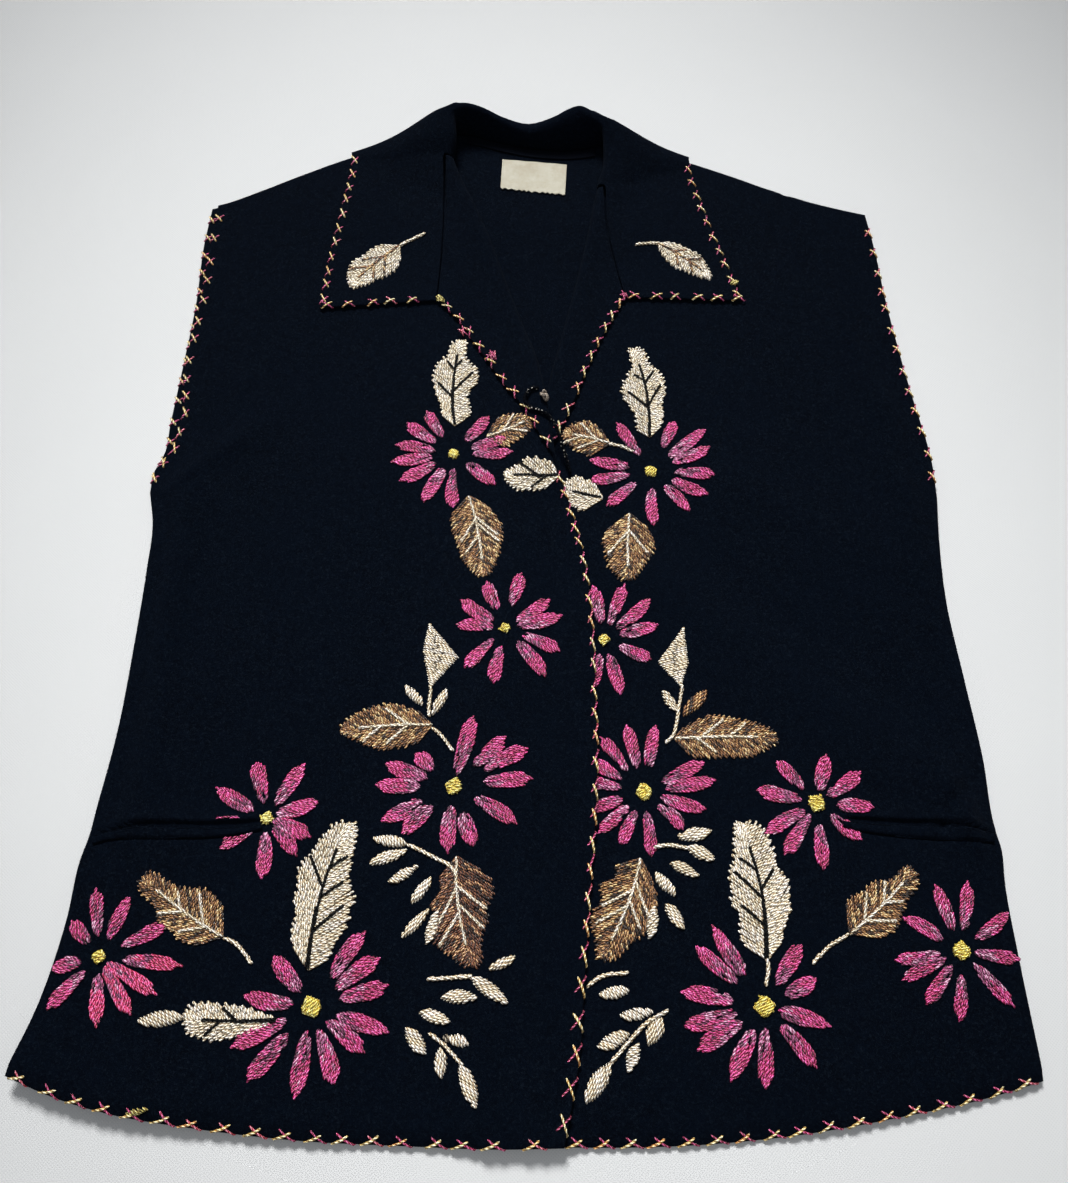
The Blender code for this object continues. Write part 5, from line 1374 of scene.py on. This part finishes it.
def daisy(threads, side, cx, cy, width, middle, petals):
    surface = body_top(side)
    rng = threads.rng
    for angle, start, reach in petals:
        palette = CRIMSON if (cx < -200.0 and angle > 240) else MAGENTA
        petal(threads, side, surface, cx, cy, angle, start, reach, width * (0.92 + 0.12 * rng.random()), palette)
    middle = middle * 0.84
    # the middle: satin stitches laid twice, the upper ones across the lower
    a = math.radians(20.0 + 60.0 * rng.random())
    for layer, turn in ((0, a + 1.45), (1, a)):
        out = []
        u, v = np.array([math.cos(turn), math.sin(turn)]), np.array([-math.sin(turn), math.cos(turn)])
        size = middle * (1.0 - 0.05 * layer)
        rows = max(5, int(round(2 * size / 1.05)))
        for k in range(rows):
            q = (k + 0.5) / rows * 2 - 1
            h = size * (1 - 0.34 * abs(q) ** 2.6) * (0.90 + 0.16 * rng.random())
            c = np.array([cx, cy]) + v * q * size * 0.92 + u * 0.5 * rng.standard_normal()
            p, g = c - u * h, c + u * h
            if h > 3.4:
                m = c + u * h * 0.5 * rng.standard_normal() * 0.5
                out.append((p[0], p[1], m[0], m[1], threads.tone(YELLOW, 0.1)))
                out.append((m[0] - u[0] * 0.5, m[1] - u[1] * 0.5, g[0], g[1], threads.tone(YELLOW, 0.1)))
            else:
                out.append((p[0], p[1], g[0], g[1], threads.tone(YELLOW, 0.1)))
        add(threads, side, surface, out, 1.3, lift=0.5 * layer, arch=0.5, flat=0.86)


def stem(threads, side, surface, points, palette, width=1.7, lift=0.10, step=4.4, advance=2.4, across=0.62, clip=True):
    """Stem stitch: each stitch starts before the last one ends, and crosses to the other side of the line."""
    p = np.array([(x, y, 0.0) for x, y in points], float)
    smooth_path, s = resample(spline_through([tuple(q) for q in p], 12), 0.5)
    total = s[-1]
    out, at = [], 0.0
    while at < total - 0.8:
        e = min(total, at + step)
        pa = np.array([np.interp(at, s, smooth_path[:, k]) for k in (0, 1)])
        pb = np.array([np.interp(e, s, smooth_path[:, k]) for k in (0, 1)])
        d = (pb - pa) / max(1e-6, np.linalg.norm(pb - pa))
        nrm = np.array([-d[1], d[0]]) * across
        pa, pb = pa - nrm, pb + nrm
        out.append((pa[0], pa[1], pb[0], pb[1], threads.tone(palette, 0.08)))
        at += advance
    add(threads, side, surface, out, width, lift=lift, clip=clip, arch=0.34, flat=0.86)


def leaf(threads, veins_to, side, surface, yarn, shape, x0, y0, x1, y1, width, bow, veins, clip=True):
    rng = threads.rng
    base, tip = np.array([x0, y0]), np.array([x1, y1])
    span = np.linalg.norm(tip - base)
    ax = (tip - base) / span
    nx = np.array([-ax[1], ax[0]])
    palette, apart, thick, long = (CREAM, 1.16, 1.56, 4.4) if yarn == "cream" else (BROWN if yarn == "brown" else CHESTNUT, 1.06, 1.32, 3.6)
    wave, phase = 0.05 + 0.04 * rng.random(), rng.random() * 6

    def spine(t):
        return base + ax * span * t + nx * bow * 4 * t * (1 - t)

    places = np.linspace(0.0, 1.0, 101)
    sides = {1: smooth(places, SHAPES[shape], 1), -1: smooth(places, SHAPES[shape], 2)}

    def half(t, s):
        t = min(1.0, max(0.0, t))
        f = float(np.interp(t, places, sides[s]))
        return width / 2 * f * (1 + wave * math.sin(11 * t + phase + (0.0 if s > 0 else 2.0)))

    out = []
    for s in (1, -1):
        t, k, drift = 0.0, 0, 0.0
        while t < 0.95:
            deg = 49.0 - 16.0 * t
            drift = 0.8 * drift + 0.7 * rng.standard_normal()
            deg += drift
            c, d = math.cos(math.radians(deg)), math.sin(math.radians(deg))
            reach = 0.5
            while reach < span:
                te = t + reach * c / span
                if te >= 1.02 or reach * d >= half(te, s):
                    break
                reach += 0.3
            reach += (0.9 if k % 2 else -0.3) + 0.35 * rng.standard_normal()
            if reach > 1.5:
                start = spine(t) - nx * s * 0.2
                dirn = ax * c + nx * s * d
                parts = max(1, int(round(reach / long)))
                cut = [0.0] + [(i + 0.24 * rng.standard_normal()) / parts for i in range(1, parts)] + [1.0]
                if parts > 1 and k % 2:
                    cut = [0.0] + [min(0.93, v + 0.45 / parts) for v in cut[1:-1]] + [1.0]
                for i in range(len(cut) - 1):
                    if cut[i + 1] - cut[i] < 0.06:
                        continue
                    pa, pb = start + dirn * (reach * cut[i] - 0.5 * (i > 0)), start + dirn * (reach * cut[i + 1] + 0.3)
                    out.append((pa[0], pa[1], pb[0], pb[1], threads.tone(palette, 0.10)))
            t += apart / d / span * (0.95 + 0.10 * rng.random())
            k += 1
    # the tip's own stitches, along the leaf
    for q in (-0.8, -0.4, 0.0, 0.4, 0.8):
        pa = spine(0.84) + nx * q * 2.4
        pb = spine(0.99) + nx * q * 1.9 + ax * (0.9 - 1.4 * abs(q))
        out.append((pa[0], pa[1], pb[0], pb[1], threads.tone(palette, 0.09)))
    add(threads, side, surface, out, thick, clip=clip, flat=0.86)
    dark = yarn == "cream" and clip
    vein_yarn = BLACK if dark else CREAM if yarn != "cream" else BROWN
    lines = [[spine(t) for t in np.linspace(0.0, 0.80, 5)]] if veins else ([[spine(t) for t in np.linspace(0.03, 0.66, 4)]] if yarn == "cream" else [])
    for v in veins:
        s, t = (1 if v > 0 else -1), abs(v)
        a = math.radians(36.0 + 8.0 * rng.random())
        far = half(min(0.9, t + 0.14), s) * 0.80 / math.sin(a)
        dirn = ax * math.cos(a) + nx * s * math.sin(a)
        lines.append([spine(t), spine(t) + dirn * far * 0.5 + ax * 0.3, spine(t) + dirn * far])
    veins_to = veins_to[1] if vein_yarn is BLACK else veins_to[0]
    for i, line in enumerate(lines):
        stem(veins_to, side, surface, [tuple(p) for p in line], vein_yarn, width=1.45,
             lift=0.6, step=4.0, advance=2.2, across=0.5, clip=clip)
        if vein_yarn is BLACK and i == 0:
            # the midrib is gone over again for its lower half, a little to one side
            again = [tuple(p + nx * 0.9 * (0.6 + 0.4 * rng.standard_normal())) for p in line[:3]]
            stem(veins_to, side, surface, again, vein_yarn, width=1.3, lift=0.6, step=4.0, advance=2.4, across=0.55, clip=clip)


def leaflet(threads, side, surface, yarn, x0, y0, x1, y1, width, clip=True):
    """Slanting satin stitches across a lens."""
    rng = threads.rng
    a, b = np.array([x0, y0]), np.array([x1, y1])
    span = np.linalg.norm(b - a)
    ax = (b - a) / span
    nx = np.array([-ax[1], ax[0]])
    palette = {"cream": CREAM, "brown": BROWN, "olive": OLIVE}[yarn]
    apart, thick = (0.95, 1.15) if yarn == "olive" else (1.38, 1.74)
    way = 1.0 if rng.random() < 0.6 else -1.0
    angle = math.radians(30.0 + 8.0 * rng.random())
    c, d = math.cos(angle), math.sin(angle) * way

    def inside(u, v):
        t = u / span
        return 0.0 <= t <= 1.0 and abs(v) <= width / 2 * math.sin(math.pi * t) ** 0.75

    out, at = [], -span * 0.3
    while at < span * 1.3:
        low = high = None
        for r in np.arange(-span, span, 0.25):
            if inside(at + r * c, r * d):
                low = r if low is None else low
                high = r
        if low is not None and high - low > 1.2:
            low, high = low - 0.5 * rng.random(), high + 0.5 * rng.random()
            pa, pb = a + ax * (at + low * c) + nx * low * d, a + ax * (at + high * c) + nx * high * d
            out.append((pa[0], pa[1], pb[0], pb[1], threads.tone(palette, 0.08)))
        at += apart / abs(d)
    add(threads, side, surface, out, thick, lift=0.05, clip=clip, arch=0.5, flat=0.86)


def bud(threads, side, surface, corners):
    """Rows of nearly level stitches, two to a row where it is wide."""
    rng = threads.rng
    c = np.array(corners, float)
    tilt = math.radians(-14.0 if side == R else 14.0)
    u, v = np.array([math.cos(tilt), math.sin(tilt)]), np.array([-math.sin(tilt), math.cos(tilt)])
    h = c @ v
    out = []
    level = h.min() + 0.6
    while level < h.max() - 0.3:
        hits = []
        for i in range(4):
            p, g = c[i], c[(i + 1) % 4]
            hp, hg = p @ v, g @ v
            if (hp - level) * (hg - level) < 0:
                hits.append(p + (g - p) * (level - hp) / (hg - hp))
        if len(hits) == 2:
            p, g = sorted(hits, key=lambda w: w @ u)
            p, g = p - u * 0.5 * rng.random(), g + u * 0.5 * rng.random()
            wide = np.linalg.norm(g - p)
            if wide > 8.5:
                m = p + (g - p) * (0.5 + 0.09 * rng.standard_normal())
                out.append((p[0], p[1], m[0], m[1], threads.tone(CREAM, 0.08)))
                out.append((m[0] - u[0] * 0.4, m[1], g[0], g[1], threads.tone(CREAM, 0.08)))
            elif wide > 1.0:
                out.append((p[0], p[1], g[0], g[1], threads.tone(CREAM, 0.08)))
        level += 1.28
    add(threads, side, surface, out, 1.56, flat=0.86)


yarn = yarn_material("embroidery wool")
dark_yarn = yarn_material("black embroidery wool", shine=0.10)
for side, name, seed in ((R, "right", 11), (L, "left", 23)):
    petals = Threads(seed)
    for row in DAISIES:
        if row[0] == side:
            daisy(petals, *row)
    if side == R:
        # what shows of one more petal on the lip of the pocket's slit
        add(petals, R, body_top(R), [(-162.0, -135.4, -167.0, -135.5, petals.tone(MAUVE)), (-161.5, -136.1, -166.5, -136.3, petals.tone(MAGENTA)), (-166.0, -135.7, -171.0, -136.0, petals.tone(MAGENTA)),
               (-170.0, -136.2, -174.0, -136.5, petals.tone(MAGENTA))], 1.1, clip=False)
    petals.build("daisies_" + name, yarn)
    leaves, over, darks = Threads(seed + 1), Threads(seed + 2), Threads(seed + 3)
    surface = body_top(side)
    for row in LEAVES:
        if row[0] == side:
            leaf(leaves, (over, darks), side, surface, *row[1:])
    for row in LEAFLETS:
        if row[0] == side:
            leaflet(leaves, side, surface, *row[1:])
    for row in BUDS:
        if row[0] == side:
            bud(leaves, side, surface, row[1])
    for row in STEMS:
        if row[0] == side:
            stem(over, side, surface, row[1], CREAM)
    if side == R:
        add(over, R, surface, [(-48.5, -245.6, -46.0, -248.6, (0.30, 0.25, 0.17)), (-47.3, -244.9, -45.0, -247.6, (0.26, 0.21, 0.14))], 1.7, lift=0.5)
    leaves.build("leaves_" + name, yarn)
    over.build("veins_and_stems_" + name, yarn)
    darks.build("dark_veins_" + name, dark_yarn)

collar_work = Threads(37)
for row in COLLAR_LEAVES:
    leaf(collar_work, (collar_work, collar_work), row[0], turned_top(row[0]), *row[1:], clip=False)
for row in COLLAR_STEMS:
    stem(collar_work, row[0], turned_top(row[0]), row[1], CREAM, clip=False)
collar_work.build("collar_leaves", yarn)


# ---------------------------------------------------------------- cross-stitched edges

def edge_line(points):
    """Arc-length path of an edge: points in mm, ordered so that the cloth lies on the left."""
    p = np.array([(x, y, 0.0) for x, y in points], float)
    path, s = resample(p, 0.5)
    tangent = np.gradient(path[:, :2], axis=0)
    kernel = np.ones(9) / 9
    tangent = np.stack([np.convolve(np.pad(tangent[:, k], 4, mode="edge"), kernel, "valid") for k in (0, 1)], 1)
    tangent /= np.linalg.norm(tangent, axis=1)[:, None]
    return path[:, :2], tangent, s


# How each edge is crossed, in mm. pitch = from cross to cross; hole = how far each leg's stitch hole is from the
# cross's middle, along the edge; deep = how far it is inside the edge; foot = where the leg meets the edge on the
# other side; bend = 1 for a straight leg, more for one that drops to the edge early and then runs beside it.
#   place: share of the way along the edge
#            place pitch  hole  deep  foot  bend
HEM_CROSS = ((0.0, 15.0, 2.6, 4.8, 5.4, 1.8), (1.0, 15.2, 2.8, 4.6, 5.6, 1.9))
HEM_CROSS_L = ((0.0, 13.4, 2.8, 4.6, 5.0, 1.8), (1.0, 15.4, 2.8, 4.6, 5.6, 1.9))
FRONT_CROSS = ((0.0, 15.6, 4.0, 6.0, 4.4, 1.2), (0.16, 17.0, 4.0, 5.6, 5.0, 1.4), (0.28, 15.0, 2.6, 3.6, 6.0, 1.8),
               (0.70, 13.6, 2.2, 2.8, 6.0, 1.9), (0.82, 11.0, 2.4, 3.4, 4.6, 1.5), (1.0, 11.0, 2.4, 4.2, 4.0, 1.4))
LAPEL_CROSS_R = ((0.0, 10.6, 2.4, 4.0, 3.8, 1.4), (0.3, 13.6, 2.6, 4.4, 4.2, 1.4), (1.0, 14.2, 2.8, 4.6, 4.6, 1.4))
LAPEL_CROSS_L = ((0.0, 12.6, 2.6, 4.8, 4.6, 1.4), (0.25, 16.0, 2.8, 5.0, 4.8, 1.4), (0.5, 12.6, 2.6, 4.6, 4.2, 1.4), (1.0, 10.2, 2.2, 4.0, 3.8, 1.4))
ARM_CROSS_R = ((0.0, 17.4, 2.8, 5.2, 3.2, 1.15), (0.3, 15.4, 2.6, 5.0, 3.2, 1.2), (0.6, 13.4, 2.6, 4.6, 3.2, 1.2),
               (0.8, 12.0, 2.4, 3.4, 4.6, 1.6), (1.0, 11.6, 2.4, 4.2, 3.2, 1.3))
ARM_CROSS_L = ((0.0, 16.0, 2.5, 4.4, 4.2, 1.5), (0.5, 15.6, 2.5, 4.4, 4.2, 1.5), (1.0, 15.0, 2.5, 4.4, 4.0, 1.4))
ARM_CROSS_B = ((0.0, 14.6, 2.0, 4.8, 2.8, 1.2), (1.0, 14.0, 2.0, 4.6, 2.8, 1.2))
COLLAR_LOW = ((0.0, 13.8, 3.0, 4.4, 3.6, 1.1), (1.0, 13.4, 3.0, 4.4, 3.6, 1.1))
COLLAR_SIDE = ((0.0, 11.6, 2.4, 4.4, 3.8, 1.4), (1.0, 11.4, 2.4, 4.4, 3.8, 1.4))


def crosses(threads, points, top, rows, start=0.5, under=1.4, width=1.3):
    """Crosses over an edge: a pink leg, then a yellow one over it, each drawn round the edge."""
    rng = threads.rng
    path, tangent, s = edge_line(points)
    total = s[-1]

    def at(d, q):
        d = min(max(d, -3.0), total + 3.0)
        inner = min(max(d, 0.0), total)
        p = np.array([np.interp(inner, s, path[:, k]) for k in (0, 1)])
        t = np.array([np.interp(inner, s, tangent[:, k]) for k in (0, 1)])
        t /= np.linalg.norm(t)
        inward = np.array([-t[1], t[0]])
        p = p + t * (d - inner)
        return p + inward * q, p + inward * max(q, 0.6), inward

    def leg(c, way, row, tone, high, thick):
        hole, deep, foot, bend = row
        hole, foot = hole * (1 + 0.10 * rng.standard_normal()), foot * (1 + 0.08 * rng.standard_normal())
        deep = deep * (1 + 0.08 * rng.standard_normal())
        path3, ups = [], []
        for k, (f, dz) in enumerate(((0.0, -0.45), (0.10, 0.26), (0.40, 0.30 + high), (0.74, 0.30 + high * 0.4), (1.0, -0.30), (1.16, -under))):
            q = deep * (1 - min(1.0, f)) ** bend
            if k == 4:
                q = -0.42
            if k == 5:
                q = 0.7
            xy, clamp, inward = at(c + way * (-hole + (hole + foot) * f), q)
            z = float(top(clamp[0], clamp[1])) + dz
            path3.append((xy[0], xy[1], z))
            out = -inward
            ups.append({4: (out[0], out[1], 0.3), 5: (out[0], out[1], -0.6)}.get(k, (0.3 * out[0] * (k == 3), 0.3 * out[1] * (k == 3), 1.0)))
        threads.route(path3, ups, width * thick * (1 + 0.06 * rng.standard_normal()), tone)

    def row_at(d):
        place = min(1.0, max(0.0, d / total))
        return [float(np.interp(place, [r[0] for r in rows], [r[k] for r in rows])) for k in range(1, 6)]

    d = start * row_at(0.0)[0]
    while d < total - row_at(d)[0] * 0.12:
        pitch, *row = row_at(d)
        c = d + 0.05 * pitch * rng.standard_normal()
        leg(c, 1, row, threads.tone(PINK, 0.1), 0.0, 0.88)
        row[1] *= 0.80
        leg(c + 0.3, -1, row, threads.tone(PEACH, 0.08), 0.5, 1.08)
        d += pitch * (1 + 0.04 * rng.standard_normal())


def over_y(fn, low, high, step=3.0):
    ys = np.linspace(low, high, max(2, int(abs(high - low) / step)))
    return [(float(fn(np.array(y))), float(y)) for y in ys]


def over_x(table, low, high, step=3.0):
    xs = np.linspace(low, high, max(2, int(abs(high - low) / step)))
    return [(float(x), float(smooth(x, table))) for x in xs]


def tuft(threads, surface, x, y, size, turn, palette, count):
    """A few short stitches heaped on one spot, where a thread was fastened off."""
    rng = threads.rng
    out = []
    for k in range(count):
        a = math.radians(turn + 30.0 * rng.standard_normal())
        c = np.array([x, y]) + size * 0.35 * rng.standard_normal(2)
        h = size * (0.55 + 0.3 * rng.random())
        out.append((c[0] - math.cos(a) * h, c[1] - math.sin(a) * h, c[0] + math.cos(a) * h, c[1] + math.sin(a) * h,
                    threads.tone(palette, 0.1)))
    for layer in range(2):
        add(threads, R, surface, out[layer::2], 1.0, lift=0.35 + 0.5 * layer, clip=False, arch=0.5)


edges = {}
# right front: hem from the side to its front edge, that edge up to the break, then its lapel and armhole downwards
work = Threads(51, 6)
top = body_top(R)
crosses(work, over_x(HEM_R, -262.0, 9.0), top, HEM_CROSS, start=0.35)
crosses(work, over_y(lambda y: edge_x(R, y), -292.0, 84.0), top, FRONT_CROSS, start=0.35)
crosses(work, over_y(lambda y: side_x(R, y) + smooth(y, ARM_INSET), 274.0, 66.0), top, ARM_CROSS_R, start=0.3)
crosses(work, over_y(lambda y: lapel_x(R, y), 200.0, 83.5), turned_top(R), LAPEL_CROSS_R, start=0.5)
leaflet(work, R, body_top(R), "olive", -203.4, -282.6, -191.6, -279.8, 3.0)
tuft(work, turned_top(R), -49.0, 178.0, 3.0, 300.0, PINK, 9)
tuft(work, turned_top(R), -30.5, 160.6, 3.9, 280.0, PINK, 14)
leaflet(work, R, turned_top(R), "olive", -67.4, 206.0, -62.2, 200.6, 4.4, clip=False)
edges["right"] = work.build("edging_right", yarn)
# left front
work = Threads(52, 6)
top = body_top(L)
crosses(work, over_x(HEM_L, 14.0, 251.0), top, HEM_CROSS_L, start=0.35)
crosses(work, over_y(lambda y: side_x(L, y), 70.0, 276.0), top, ARM_CROSS_L, start=0.4)
crosses(work, over_y(lambda y: lapel_x(L, y), 92.0, 204.0), turned_top(L), LAPEL_CROSS_L, start=0.4)
tuft(work, turned_top(L), 54.5, 207.5, 2.8, 90.0, PINK, 7)
edges["left"] = work.build("edging_left", yarn)
# back: its own row round each armhole
work = Threads(53, 6)
top = lambda x, y: back_z(x, y) + WALL / 2
crosses(work, over_y(lambda y: side_x(R, y), 272.0, 68.0), top, ARM_CROSS_B, start=0.2, under=1.2)
crosses(work, over_y(lambda y: side_x(L, y), 68.0, 272.0), top, ARM_CROSS_B, start=0.7, under=1.2)
edges["back"] = work.build("edging_back", yarn)
# collar: each end from the notch to its point, then up its side to the shoulder
work = Threads(54, 6)
for side, gorge, free in ((R, GORGE_R, FALL_R), (L, GORGE_L, FALL_L)):
    sign = -1.0 if side == R else 1.0
    n0 = (gorge[0][1] + sign * 0.7, gorge[0][0])
    n1 = (free[0][1], free[0][0])
    low = [n1, n0] if side == R else [n0, n1]
    crosses(work, low, turned_top(side), COLLAR_LOW, start=0.4)
    # up to where the collar goes over the shoulder's edge
    ys = np.linspace(free[0][0] + 2.0, free[-1][0], 30)
    line = [(float(smooth(y, free)), float(y)) for y in ys]
    for s in (np.linspace(0.3, 2.0, 6) if side == R else np.linspace(15.7, 14.0, 6)):
        p = collar_fall(float(s), 1.0)
        if p[1] > line[-1][1] + 0.5:
            line.append((float(p[0]), float(p[1])))
    crosses(work, line[::-1] if side == R else line, turned_top(side), COLLAR_SIDE, start=0.35)
leaflet(work, L, turned_top(L), "olive", 125.0, 217.4, 130.0, 220.6, 3.8, clip=False)
edges["collar"] = work.build("edging_collar", yarn)


# ---------------------------------------------------------------- floor and light

def area_light(name, place, aim, size, power, colour=(1.0, 1.0, 1.0)):
    data = bpy.data.lights.new(name, "AREA")
    data.shape = "RECTANGLE"
    data.size, data.size_y = size
    data.energy = power
    data.color = colour
    lamp = bpy.data.objects.new(name, data)
    bpy.context.scene.collection.objects.link(lamp)
    lamp.location = place
    lamp.rotation_euler = (Vector(aim) - Vector(place)).to_track_quat("-Z", "Y").to_euler()
    return lamp


floor_mesh = bpy.data.meshes.new("ground")
floor_mesh.from_pydata([(-3.0, -3.0, -0.0003), (3.0, -3.0, -0.0003), (3.0, 3.0, -0.0003), (-3.0, 3.0, -0.0003)], [], [(0, 1, 2, 3)])
floor = bpy.data.objects.new("ground", floor_mesh)
bpy.context.scene.collection.objects.link(floor)
floor_mesh.materials.append(floor_material())

def spot_light(name, place, aim, cone, radius, power, colour=(1.0, 1.0, 1.0)):
    data = bpy.data.lights.new(name, "SPOT")
    data.spot_size = math.radians(cone)
    data.spot_blend = 1.0
    data.shadow_soft_size = radius
    data.energy = power
    data.color = colour
    lamp = bpy.data.objects.new(name, data)
    bpy.context.scene.collection.objects.link(lamp)
    lamp.location = place
    lamp.rotation_euler = (Vector(aim) - Vector(place)).to_track_quat("-Z", "Y").to_euler()
    return lamp


# a window's light from beyond the neck, a little from the wearer's right, and a weak fill from the near side
# four panes side by side and above each other, so that the shadows' edges are soft
for i, (dx, dy, dz) in enumerate(((-0.60, 0.0, 0.0), (0.60, 0.0, 0.0), (0.0, -0.42, 0.42), (0.0, 0.42, -0.42))):
    spot_light("window pane %d" % (i + 1), (-0.80 + dx, 4.09 + dy, 4.32 + dz), (0.012, -0.05, 0.0), 15.4, 0.36, 630.0, (1.0, 0.995, 0.985))
spot_light("near fill", (0.0, -0.55, 1.15), (0.0, 0.03, 0.0), 56.0, 0.22, 16.0, (0.97, 0.985, 1.0))
world = bpy.data.worlds.new("soft studio")
bpy.context.scene.world = world
world.use_nodes = True
background = world.node_tree.nodes["Background"]
background.inputs["Color"].default_value = (0.90, 0.93, 0.97, 1.0)
background.inputs["Strength"].default_value = 0.285
bpy.context.scene.view_settings.view_transform = "Standard"
